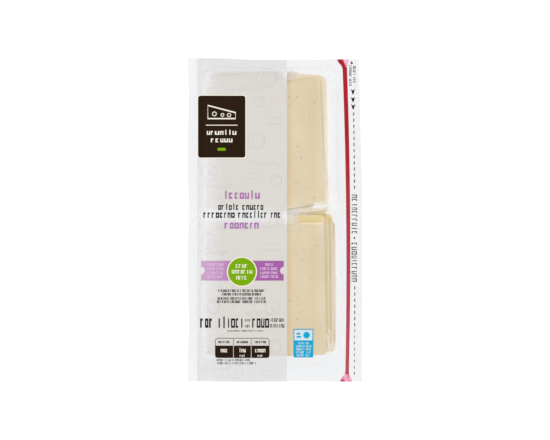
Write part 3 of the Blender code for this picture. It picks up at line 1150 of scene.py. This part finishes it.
def make_strip():
    across, along = STRIP_STEPS
    bm = bmesh.new()
    loops = []
    for row in range(along + 1):
        y = mix(bottom_edge(STRIP_X) + STRIP_END_INSET, top_edge(STRIP_X) - STRIP_END_INSET, row / along)
        left, right = strip_sides(y)
        x_middle = strip_middle(y)
        from_end = min(top_edge(STRIP_X) - y, y - bottom_edge(STRIP_X))
        crushed = fade(from_end, 3 * MM, CRUSHED_LENGTH)
        top, under = [], []
        for step in range(across + 1):
            u = step / across
            x = x_middle + mix(-left, right, u)
            floor = FLANGE_TOP + flange_shift(x, y) - LID_INSET + CLEARANCE
            crown = math.sqrt(max(0.0, 1.0 - (2.0 * u - 1.0) ** 2))
            wave = crushed * 0.25 * MM * rough(x, y, 0.7, 420.0)
            height = strip_thickness(x, y) * mix(0.45 + 0.55 * crown, 0.6 + 0.4 * crown, crushed)
            top.append((x, y, floor + height + wave))
            under.append((x, y, floor + wave * 0.5))
        loops.append([bm.verts.new(p) for p in top + under[::-1]])
    join_loops(bm, loops)
    bm.faces.new(loops[0][::-1])
    bm.faces.new(loops[-1])
    bmesh.ops.recalc_face_normals(bm, faces=bm.faces[:])
    strip = new_object("press_strip", bm, RED)
    set_point_values(strip, "crush", strip_crush)
    set_point_values(strip, "fold", strip_fold)
    soften(strip, 50.0)
    return put_on(strip, "red_strip", "zip_strip")


# Where the flattened ends change colour: distance from the end and from the strip's middle, in mm
RED_WEDGE = (-2.1, 0.38)     # right border of the red wedge at the head end, and how it slants
FOOT_WEDGE = (-2.0, 1.9)     # the red corner at the foot end: its right border and its length


def strip_places(x, y):
    off = (x - strip_middle(y)) / MM
    return off, (top_edge(STRIP_X) - y) / MM, (y - bottom_edge(STRIP_X)) / MM


def strip_crush(x, y):
    """0 where the strip is red, 1 where it is crushed and pale."""
    off, from_head, from_foot = strip_places(x, y)
    patch = 1.0 + 0.5 * rough(x, y, 0.2, 420.0)
    border = RED_WEDGE[0] + RED_WEDGE[1] * from_head
    head = smooth(off, border - 0.3, border + 1.9) * fade(from_head, 6.0, 7.2)
    below_wedge = smooth(from_head, 3.8, 4.8) * fade(from_head, 6.6, 7.6) * smooth(-off, 1.7, 2.3)
    head = max(head, 0.5 * below_wedge)
    in_corner = fade(off, FOOT_WEDGE[0], FOOT_WEDGE[0] + 0.8)
    in_corner *= fade(from_foot, 1.2, FOOT_WEDGE[1])
    foot = 0.8 * fade(from_foot, 5.6, 6.8) * (1.0 - in_corner)
    return max(0.02 * (from_head < 7.0), min(1.0, max(head, foot) * patch))


def strip_fold(x, y):
    """Dark lines of the folds at the two ends."""
    off, from_head, from_foot = strip_places(x, y)
    border = RED_WEDGE[0] + RED_WEDGE[1] * from_head
    left, _ = strip_sides(y)
    near_border = fade(abs(off - border), 0.1, 0.7)
    across = fade(abs(from_head - 7.0), 0.2, 0.9) * smooth(off, -1.0, 0.5)
    head = max(near_border, across) * fade(from_head, 7.4, 8.2)
    ring = fade(abs(from_foot - 6.3), 0.1, 0.7) * smooth(off, -0.5, 0.4)
    side = fade(abs(off + left / MM), 0.1, 0.9) * fade(from_foot, 3.5, 5.0)
    return 0.85 * max(head, 0.7 * ring, 0.7 * side)


# Print

def flat_face(bm, points):
    return bm.faces.new([bm.verts.new((x * MM, y * MM, 0.0)) for x, y in points])


def rounded_box(left, right, foot, head, radius, steps=5):
    """Outline points in mm of a box with round corners."""
    return sum(corner_arcs(left, right, foot, head, radius, steps), [])


def disc(x, y, radius, steps=64):
    return [(x + radius * math.cos(math.tau * n / steps), y + radius * math.sin(math.tau * n / steps))
            for n in range(steps)]


def stroke(bm, points, width, closed=False):
    """A line of even width through points in mm."""
    last = len(points) - 1
    sides = []
    for n, (x, y) in enumerate(points):
        before = points[n - 1] if n or closed else points[n]
        after = points[(n + 1) % len(points)] if n < last or closed else points[n]
        way = Vector((after[0] - before[0], after[1] - before[1])).normalized() * width / 2
        sides.append([bm.verts.new(((x - way.y * k) * MM, (y + way.x * k) * MM, 0.0)) for k in (1, -1)])
    pairs = list(zip(sides, sides[1:])) + ([(sides[-1], sides[0])] if closed else [])
    for (a, b), (c, d) in pairs:
        bm.faces.new((a, b, d, c))


def cut_lines(low, high, slopes):
    """Where large print is divided: closely on slopes, widely where the film lies flat."""
    at, lines = low, []
    while at < high:
        lines.append(at)
        steep = any(start <= at < end for start, end in slopes)
        at += CLOSE_CUTS if steep else WIDE_CUTS
    return lines


CLOSE_CUTS, WIDE_CUTS = 0.6 * MM, 2.4 * MM
CUTS_ACROSS = cut_lines(PACK_LEFT, PACK_RIGHT, [(PACK_LEFT, SLOPE_END), (34 * MM, PACK_RIGHT)])
CUTS_ALONG = cut_lines(PACK_FOOT, PACK_HEAD,
                       [(PACK_FOOT, -99 * MM), (-6 * MM, 13 * MM), (102 * MM, PACK_HEAD)])


def drape(name, bm, lift, finish, slot_name):
    """Lays flat print on the lid and gives it the thickness of the ink."""
    for axis, lines in enumerate((CUTS_ACROSS, CUTS_ALONG)):
        normal = Vector((1.0, 0.0, 0.0)) if axis == 0 else Vector((0.0, 1.0, 0.0))
        places = [v.co[axis] for v in bm.verts]
        for at in lines:
            if min(places) < at < max(places):
                bmesh.ops.bisect_plane(bm, geom=bm.verts[:] + bm.edges[:] + bm.faces[:],
                                       plane_co=at * normal, plane_no=normal)
    for face in bm.faces:
        face.normal_update()
        if face.normal.z < 0:
            face.normal_flip()
    grown = bmesh.ops.extrude_face_region(bm, geom=bm.faces[:])["geom"]
    raised = {item for item in grown if isinstance(item, bmesh.types.BMVert)}
    for point in bm.verts:
        extra = PRINT_THICKNESS if point in raised else 0.0
        point.co.z = lid_surface(point.co.x, point.co.y) + lift + extra
    bmesh.ops.recalc_face_normals(bm, faces=bm.faces[:])
    return put_on(new_object(name, bm, finish), slot_name)


def make_mark_shapes(name, low, stroke_width, outer=0.42):
    """Plain shapes one unit high that stand for letters."""
    shapes = bpy.data.collections.new(name)
    inner, bar = outer - stroke_width, stroke_width * 0.8
    legs = [(-outer, -inner, 0.0, low), (inner, outer, 0.0, low)]
    foot, head = (-inner, inner, 0.0, bar), (-inner, inner, low - bar, low)
    boxes = {"arch": legs + [head], "bar": [(-stroke_width / 2, stroke_width / 2, 0.0, 1.0)],
             "cup": legs + [foot], "hook": legs[:1] + [head], "hoop": legs[:1] + [foot, head],
             "ring": legs + [foot, head]}
    for shape, parts in boxes.items():
        bm = bmesh.new()
        for left, right, bottom, top in parts:
            bm.faces.new([bm.verts.new((x, y, 0.0)) for x, y in
                          ((left, bottom), (right, bottom), (right, top), (left, top))])
        made = new_object(name + "_" + shape, bm)
        bpy.context.scene.collection.objects.unlink(made)
        shapes.objects.link(made)
    return shapes


def make_row_tree():
    """A row of marks picked by chance, with wider gaps here and there, fitted to a length and a height."""
    tree, takes, end = geometry_tree("row_of_marks", [
        ("Shapes", "Collection"), ("Count", "Int"), ("Length", "Float"), ("Height", "Float"),
        ("Word", "Int"), ("Seed", "Int"), ("Finish", "Material")])
    wide = chance(takes["Seed"], 1, 0.8, 1.15)
    in_word = (add(tree, "GeometryNodeInputIndex") + 1.0).math("FLOORED_MODULO", takes["Word"])
    space = in_word.math("LESS_THAN", 0.5) * 0.7
    reach = add(tree, "GeometryNodeAccumulateField", {"Value": wide + space})
    unit = takes["Length"] / reach.of("Total")
    middle = (reach.of("Leading") - space - wide * 0.5) * unit
    points = moved(points_in_line(takes["Count"]), Position=vector(tree, middle))
    shapes = add(tree, "GeometryNodeCollectionInfo",
                 {"Collection": takes["Shapes"], "Separate Children": True})
    marks = copies(points, shapes, Pick_Instance=True, Instance_Index=chance(takes["Seed"], 2, 0, 5, "INT"),
                   Scale=vector(tree, wide * unit, takes["Height"], takes["Height"]))
    end_with_finish(marks, takes["Finish"], end)
    return tree


def make_dash_tree():
    """Dashes along the bent tear line."""
    tree, takes, end = geometry_tree("dashed_line", [
        ("Dash", "Object"), ("Count", "Int"), ("Start", "Float"), ("Step", "Float"), ("Line", "Float"),
        ("Bow", "Float"), ("Bow Middle", "Float"), ("Finish", "Material")])
    line = points_in_line(takes["Count"], Start_Location=vector(tree, y=takes["Start"]),
                          Offset=vector(tree, y=takes["Step"] * -1.0))
    away = (axes(add(tree, "GeometryNodeInputPosition"))[1] - takes["Bow Middle"]) / STRIP_HALF_LENGTH
    bent = moved(line, Offset=vector(tree, takes["Line"] - away * away * takes["Bow"]))
    end_with_finish(copies(bent, shape_of(takes["Dash"])), takes["Finish"], end)
    return tree


TEAR_X, TEAR_BOW, TEAR_BOW_MIDDLE = 60.8 * MM, 1.0 * MM, -40 * MM
SMALL_MARKS = make_mark_shapes("small_marks", 0.76, 0.28)
TALL_MARKS = make_mark_shapes("tall_marks", 1.0, 0.26)
BOLD_MARKS = make_mark_shapes("bold_marks", 1.0, 0.32)
SPACED_MARKS = make_mark_shapes("spaced_marks", 1.0, 0.20, 0.36)
ROW_TREE = make_row_tree()
DASH_TREE = make_dash_tree()


def add_flat(bm, piece, place=None):
    """Takes the faces of a finished piece into a print layer and removes the piece."""
    mesh = piece.data
    if place:
        mesh.transform(place)
    bm.from_mesh(mesh)
    bpy.data.objects.remove(piece)


def row(bm, left, right, middle_y, height, count, seed, word=6, shapes=SMALL_MARKS, downwards=False):
    """A line of plain marks in place of a line of words, in mm."""
    piece = run_tree("row", ROW_TREE, {"Shapes": shapes, "Count": count, "Length": (right - left) * MM,
                                       "Height": height * MM, "Word": word, "Seed": seed, "Finish": TEXT_INK})
    place = Matrix.Translation((left * MM, (middle_y - height / 2) * MM, 0.0))
    if downwards:            # left and right are then the upper and lower end, seen from the right
        turn = Matrix.Rotation(-math.pi / 2, 4, "Z")
        place = Matrix.Translation(((middle_y - height / 2) * MM, -left * MM, 0.0)) @ turn
    add_flat(bm, piece, place)


def printed(name, lift, finish, slot_name, outlines=(), rows=(), lines=()):
    """A layer of ink: flat shapes, rows of marks, and lines with their width and whether they are closed."""
    bm = bmesh.new()
    for outline in outlines:
        flat_face(bm, outline)
    for one_row in rows:
        row(bm, *one_row)
    for points, width, closed in lines:
        stroke(bm, points, width, closed)
    return drape(name, bm, lift, finish, slot_name)


# Rows of marks in mm: left, right, middle, height, how many marks, seed, marks to a word, shapes
DARK_ROWS = [
    (-43.2, -6.7, 10.1, 4.9, 12, 1), (-54.6, 5.1, 4.3, 5.4, 19, 2, 8),
    (-43.2, -7.1, -53.7, 1.9, 28, 10, 7, BOLD_MARKS), (-40.2, -9.8, -56.4, 1.9, 28, 11, 7, BOLD_MARKS),
    (-43.6, -6.3, -59.6, 1.9, 28, 12, 7, BOLD_MARKS), (-44.1, -6.0, -62.1, 1.9, 28, 13, 7, BOLD_MARKS),
    (-57.1, -40.7, -78.3, 7.0, 4, 3, 3, BOLD_MARKS), (-36.7, -23.4, -78.3, 7.0, 4, 4, 6, TALL_MARKS),
    (-17.5, -4.1, -78.3, 7.0, 4, 5, 6, TALL_MARKS),
    (-22.7, -18.9, -75.9, 2.4, 3, 6), (-22.7, -18.9, -80.4, 2.4, 3, 7),
    (-3.7, 7.3, -75.9, 2.6, 7, 8, 9, TALL_MARKS), (-3.7, 7.3, -80.4, 2.6, 7, 9, 9, TALL_MARKS),
    (-36.4, -8.2, -84.1, 1.0, 30, 14, 12),
    (-44.3, -18.9, -106.4, 1.7, 22, 15, 6, TALL_MARKS), (-44.0, -13.9, -108.9, 1.7, 26, 16, 5, TALL_MARKS)]
FIGURES_BAR = (-39.1, -38.1, -82.1, -73.2, 0.3)
LILAC_ROWS = [(-39.0, -11.0, 19.2, 6.2, 7, 21, 9), (-38.6, -12.0, -3.6, 6.0, 7, 25, 9)]


def panel_lines():
    printed("dark_lines", UNDER_PRINT, TEXT_INK, "dark_print", [rounded_box(*FIGURES_BAR)], DARK_ROWS)
    printed("lilac_lines", UNDER_PRINT, LILAC_INK, "lilac_print", rows=LILAC_ROWS)


LABEL = (-58.4, -22.4, 47.4, 94.4)
LABEL_BORDER = 0.8
WEDGE_HALF, WEDGE_HEIGHTS = 10.5, (77.0, 81.5, 87.0)      # the wedge's foot, its low side and its high side
WEDGE_HOLES = ((-5.5, 80.6, 1.5), (0.6, 79.8, 1.1), (5.6, 79.7, 1.3))
LABEL_RULE = (12.0, 72.0)    # half its length, and where it stands
LABEL_BAR = (3.2, 52.6, 54.8, 1.0)       # half its length, foot, head and corners
LABEL_CORNERS = (2.4, 1.8)   # of the pale edge and of the field
LABEL_ROWS = ((11.5, 66.6, 3.8, 7, 26, 9), (8.5, 60.9, 3.8, 5, 27, 9))       # half a length, then as above


def plain_label():
    left, right, foot, head = LABEL
    middle = (left + right) / 2
    low, right_side, left_side = WEDGE_HEIGHTS
    wedge = [(middle - WEDGE_HALF, low), (middle + WEDGE_HALF, low), (middle + WEDGE_HALF, right_side),
             (middle - WEDGE_HALF, left_side)]
    lines = [(wedge, 1.1, True)]
    lines += [(disc(middle + x, y, radius, 20), 0.6, True) for x, y, radius in WEDGE_HOLES]
    half, height = LABEL_RULE
    lines += [([(middle - half, height), (middle + half, height)], 0.6, False)]
    rows = [(middle - half, middle + half, *rest) for half, *rest in LABEL_ROWS]
    wide = LABEL_BORDER
    printed("label_edge", UNDER_PRINT, CREAM_INK, "white_print",
            [rounded_box(left - wide, right + wide, foot - wide, head + wide, LABEL_CORNERS[0])])
    printed("label_field", MID_PRINT, DARK_INK, "dark_print", [rounded_box(*LABEL, LABEL_CORNERS[1])])
    printed("label_marks", OVER_PRINT, CREAM_INK, "white_print", rows=rows, lines=lines)
    printed("label_bar", OVER_PRINT, GREEN_INK, "green_print",
            [rounded_box(middle - LABEL_BAR[0], middle + LABEL_BAR[0], *LABEL_BAR[1:])])


RIBBON = (-56.1, 6.7, -46.0, -31.0)
RIBBON_NOTCH = 2.9
RIBBON_LINES = (-33.8, -37.0, -40.1, -43.0)
BADGE = (-25.0, -39.3)
BADGE_RING, BADGE_DISC = 11.5, 10.6
BADGE_ROWS = [(-29.9, -20.4, -34.9, 2.7, 4, 31, 6, TALL_MARKS),
              (-32.9, -17.0, -39.3, 2.7, 7, 32, 9, TALL_MARKS),
              (-29.5, -20.8, -43.9, 2.7, 4, 33, 6, TALL_MARKS)]


def ribbon_and_badge():
    left, right, foot, head = RIBBON
    middle = (foot + head) / 2
    points = [(left, foot), (right, foot)]
    for x, way in ((right, 1), (left, -1)):
        arc = [(x - way * RIBBON_NOTCH * math.sin(math.pi * n / 12),
                middle - way * RIBBON_NOTCH * math.cos(math.pi * n / 12)) for n in range(13)]
        points += arc + [(x, head)] if way > 0 else [(left, head)] + arc
    rows = []
    for n, y in enumerate(RIBBON_LINES):
        start, end, count = (-11.3, 2.4, 9) if n else (-7.5, -1.4, 4)
        rows += [(-51.6, -39.0, y, 1.9, 9, 40 + n, 5, TALL_MARKS),
                 (start, end, y, 1.9, count, 50 + n, 5, TALL_MARKS)]
    printed("lilac_ribbon", UNDER_PRINT, RIBBON_INK, "lilac_print", [points])
    printed("badge_ring", MID_PRINT, CREAM_INK, "white_print", [disc(*BADGE, BADGE_RING)])
    printed("badge_disc", OVER_PRINT, GREEN_INK, "green_print", [disc(*BADGE, BADGE_DISC)])
    printed("badge_lines", TOP_PRINT, CREAM_INK, "white_print", rows=BADGE_ROWS)
    printed("ribbon_lines", MID_PRINT, PALE_LILAC_INK, "white_print", rows=rows)


FACT_CELLS = ((-45.1, -31.7), (-31.2, -18.2), (-17.7, -4.4))
CELL_FOOT, CELL_HEAD = -104.5, -95.4
TABLE_FRAME = (-45.2, -4.3, -104.6, -89.8, 2.3)


def facts_table():
    cells, marks, heads, lines = [], [], [], [(rounded_box(*TABLE_FRAME), 0.35, True)]
    for n, (left, right) in enumerate(FACT_CELLS):
        cells.append([(left, CELL_FOOT), (right, CELL_FOOT), (right, CELL_HEAD), (left, CELL_HEAD)])
        inset, count = (3.8, 3) if n < 2 else (2.6, 4)
        marks.append((left + inset, right - inset, -98.8, 3.3, count, 60 + n))
        heads.append((left + 2.2, right - 2.2, -92.7, 1.6, 7, 80 + n, 9, BOLD_MARKS))
        if n:
            marks.append((left + 4.4, right - 4.4, -102.9, 1.7, 3, 70 + n))
            lines.append(([(left - 0.3, -95.2), (left - 0.3, -90.4)], 0.3, False))
    printed("facts_cells", MID_PRINT, DARK_INK, "dark_print", cells)
    printed("facts_marks", OVER_PRINT, CREAM_INK, "white_print", rows=marks)
    printed("facts_heads", OVER_PRINT, TEXT_INK, "dark_print", rows=heads, lines=lines)


BLUE_MARK = (14.2, 29.1, -104.4, -82.8)
BLUE_INSETS = (3.4, 1.4, 1.8, 1.4, 2.4)


def blue_mark():
    left, right, foot, head = BLUE_MARK
    middle = (left + right) / 2
    signs = [disc(middle + 2.4, head - 4.6, 2.5, 32),
             rounded_box(left + 2.2, middle - 1.6, head - 6.6, head - 5.2, 0.5),
             rounded_box(left + 2.2, middle - 2.4, head - 4.2, head - 2.8, 0.5)]
    rows = [(left + inset, right - inset, head - 10.8 - 2.3 * n, 1.5, 8, 90 + n, 5, TALL_MARKS)
            for n, inset in enumerate(BLUE_INSETS)]
    printed("blue_field", UNDER_PRINT, BLUE_INK, "blue_print", [rounded_box(*BLUE_MARK, 0.6)])
    printed("blue_pale_field", MID_PRINT, PALE_BLUE_INK, "white_print",
            [rounded_box(left + 0.6, right - 0.6, head - 8.6, head - 0.6, 0.4)])
    printed("blue_dot", OVER_PRINT, BLUE_INK, "blue_print", signs)
    printed("blue_lines", MID_PRINT, PALE_BLUE_INK, "white_print", rows=rows)


def tear_middle(y):
    """Where the tear line runs, in mm."""
    return (TEAR_X - TEAR_BOW * ((y * MM - TEAR_BOW_MIDDLE) / STRIP_HALF_LENGTH) ** 2) / MM


# The tear line in mm. Its dashes: where they start, how many, half width and half length
TEAR_DASHES = ((80.6, 13, 0.36, 1.3), (-51.7, 7, 0.36, 1.3), (-84.2, 8, 0.27, 1.1))
DASH_STEP = 4.64 * MM
ARROW_PLACES = (97.7, 91.7, 86.2)
ARROW_HEAD = ((-1.6, 2.0), (0.0, 0.9), (1.6, 2.0), (0.35, -2.1), (-0.35, -2.1))
START_MARK = [(57.4, 118.8), (59.6, 118.8), (58.5, 121.1)]
MIDDLE_DOT = (60.5, -13.7, 0.75, 12)
# Rows that read downwards: their ends are counted down the pack and their middle across it
TEAR_ROWS = ((-19.8, 11.2, 60.5, 4.0, 10, 95, 20, SPACED_MARKS),
             (16.8, 47.4, 60.4, 4.0, 10, 96, 20, SPACED_MARKS),
             (-117.8, -102.0, 57.4, 1.9, 10, 97, 6, TALL_MARKS),
             (-117.2, -104.6, 60.4, 2.0, 8, 98, 5, TALL_MARKS))


def tear_line():
    bm = bmesh.new()
    for start, count, half_width, half_length in TEAR_DASHES:
        dash = bmesh.new()
        flat_face(dash, rounded_box(-half_width, half_width, -half_length, half_length, 0.25, 2))
        pattern = new_object("dash", dash)
        piece = run_tree("dashes", DASH_TREE, {
            "Dash": pattern, "Count": count, "Start": start * MM, "Step": DASH_STEP, "Line": TEAR_X,
            "Bow": TEAR_BOW, "Bow Middle": TEAR_BOW_MIDDLE, "Finish": TEXT_INK})
        add_flat(bm, piece)
        bpy.data.objects.remove(pattern)
    for middle in ARROW_PLACES:
        flat_face(bm, [(tear_middle(middle) - 0.3 + x, middle + y) for x, y in ARROW_HEAD])
    flat_face(bm, START_MARK)
    flat_face(bm, disc(*MIDDLE_DOT))
    for one_row in TEAR_ROWS:
        row(bm, *one_row, downwards=True)
    return drape("tear_marks", bm, UNDER_PRINT, TEXT_INK, "dark_print")


# Pale drawings on the panel: rings as middle and radius, wavy lines as start, length and height, in mm
PALE_RINGS = ((-49, 109, 5.5), (-30, 114, 6.5), (-6, 108, 7.5), (-12, 90, 4), (0, 76, 5.5), (-14, 60, 6.5),
              (-50, 36, 6), (-18, 34, 5), (1, 30, 4.5), (-50, -16, 5.5), (-4, -20, 6.5), (-48, -66, 6),
              (-2, -67, 5), (-52, -98, 4.5), (0, -96, 5), (-30, -115, 5.5), (-6, -116, 4.5))
PALE_WAVES = ((-56, 26, 24), (-20, 44, 26), (-56, -24, 20), (-22, -70, 26), (-56, -112, 22), (-34, 100, 24))
PALE_LINE, PALE_INNER_LINE = 0.35, 0.3


def pale_drawings():
    lines = []
    for n, (x, y, radius) in enumerate(PALE_RINGS):
        if n % 3 == 1:
            low, high = y - 0.5 * radius, y + 0.5 * radius
            wedge = [(x - radius, low), (x + radius, low), (x + radius, y + 0.1 * radius), (x - radius, high)]
            lines.append((wedge, PALE_LINE, True))
            continue
        inner = 0.72 if n % 3 else 0.3
        lines += [(disc(x, y, radius, 40), PALE_LINE, True),
                  (disc(x + 0.2 * radius, y, inner * radius, 30), PALE_INNER_LINE, True)]
    for x, y, length in PALE_WAVES:
        for lower in (0.0, 1.6):
            wave = [(x + length * n / 30, y - lower + 0.9 * math.sin(n * 0.7 + x)) for n in range(31)]
            lines.append((wave, PALE_INNER_LINE, False))
    return printed("pale_drawings", UNDER_PRINT / 2, FAINT_INK, "white_print", lines=lines)


# Floor, lights and camera

CAMERA_HEIGHT = 1.6
CAMERA_LEVEL = 25.5 * MM     # height at which a picture dot is PX wide
SENSOR_MM = 36.0
FLOOR_HALF = 6.0


def make_floor():
    bm = bmesh.new()
    bmesh.ops.create_grid(bm, x_segments=1, y_segments=1, size=FLOOR_HALF)
    finish, tree, shader, place = new_material("pale_floor")
    feed(shader, Base_Color=colour_mix(noise_at(place, 3.0), (0.20, 0.20, 0.20), (0.19, 0.19, 0.194)),
         Roughness=0.9, Specular_IOR_Level=0.1, Emission_Color=(1.0, 1.0, 1.0), Emission_Strength=0.86)
    new_object("floor", bm, finish)


def area_light(name, place, size, watts):
    data = bpy.data.lights.new(name, "AREA")
    data.shape = "SQUARE"
    data.size = size
    data.energy = watts
    made = in_scene(name, data)
    made.location = place
    made.rotation_mode = "QUATERNION"
    made.rotation_quaternion = (-Vector(place)).to_track_quat("-Z", "Y")


def make_studio():
    world = bpy.data.worlds.new("studio")
    world.use_nodes = True
    feed(world.node_tree.nodes["Background"], Color=(1.0, 1.0, 1.0), Strength=0.72)
    bpy.context.scene.world = world
    area_light("left_head_light", (-0.75, 0.45, 2.0), 0.8, 10.0)
    area_light("right_light", (0.80, 0.10, 2.0), 0.7, 6.0)
    area_light("foot_light", (-0.10, -0.85, 2.0), 0.7, 4.0)
    data = bpy.data.cameras.new("camera")
    data.sensor_width = SENSOR_MM
    data.lens = SENSOR_MM * (CAMERA_HEIGHT - CAMERA_LEVEL) / (PHOTO_WIDTH_PX * PX)
    data.clip_end = 20.0
    camera = in_scene("camera", data)
    camera.location = (0.1 * MM, 0.0, CAMERA_HEIGHT)
    bpy.context.scene.camera = camera
    bpy.context.scene.view_settings.view_transform = "Standard"


def main():
    make_lid()
    make_pocket()
    make_stack("upper_slices", UPPER_REST_SHAPE, UPPER_REST_CORNER, UPPER_MIDDLE,
               (UPPER_LEAN_X, UPPER_LEAN_Y, UPPER_LONGER), 3)
    make_stack("lower_slices", LOWER_REST_SHAPE, LOWER_REST_CORNER, LOWER_MIDDLE,
               (LOWER_LEAN_X, LOWER_LEAN_Y, LOWER_LONGER), 8)
    make_top_slice("upper_top_slice", UPPER_LENGTH, UPPER_SHAPE, UPPER_MIDDLE, UPPER_STACK, UPPER_PITS, 5)
    make_top_slice("lower_top_slice", LOWER_LENGTH, LOWER_SHAPE, LOWER_MIDDLE, LOWER_STACK, LOWER_PITS, 6)
    make_strip()
    panel_lines()
    plain_label()
    ribbon_and_badge()
    facts_table()
    blue_mark()
    tear_line()
    pale_drawings()
    make_floor()
    make_studio()


main()
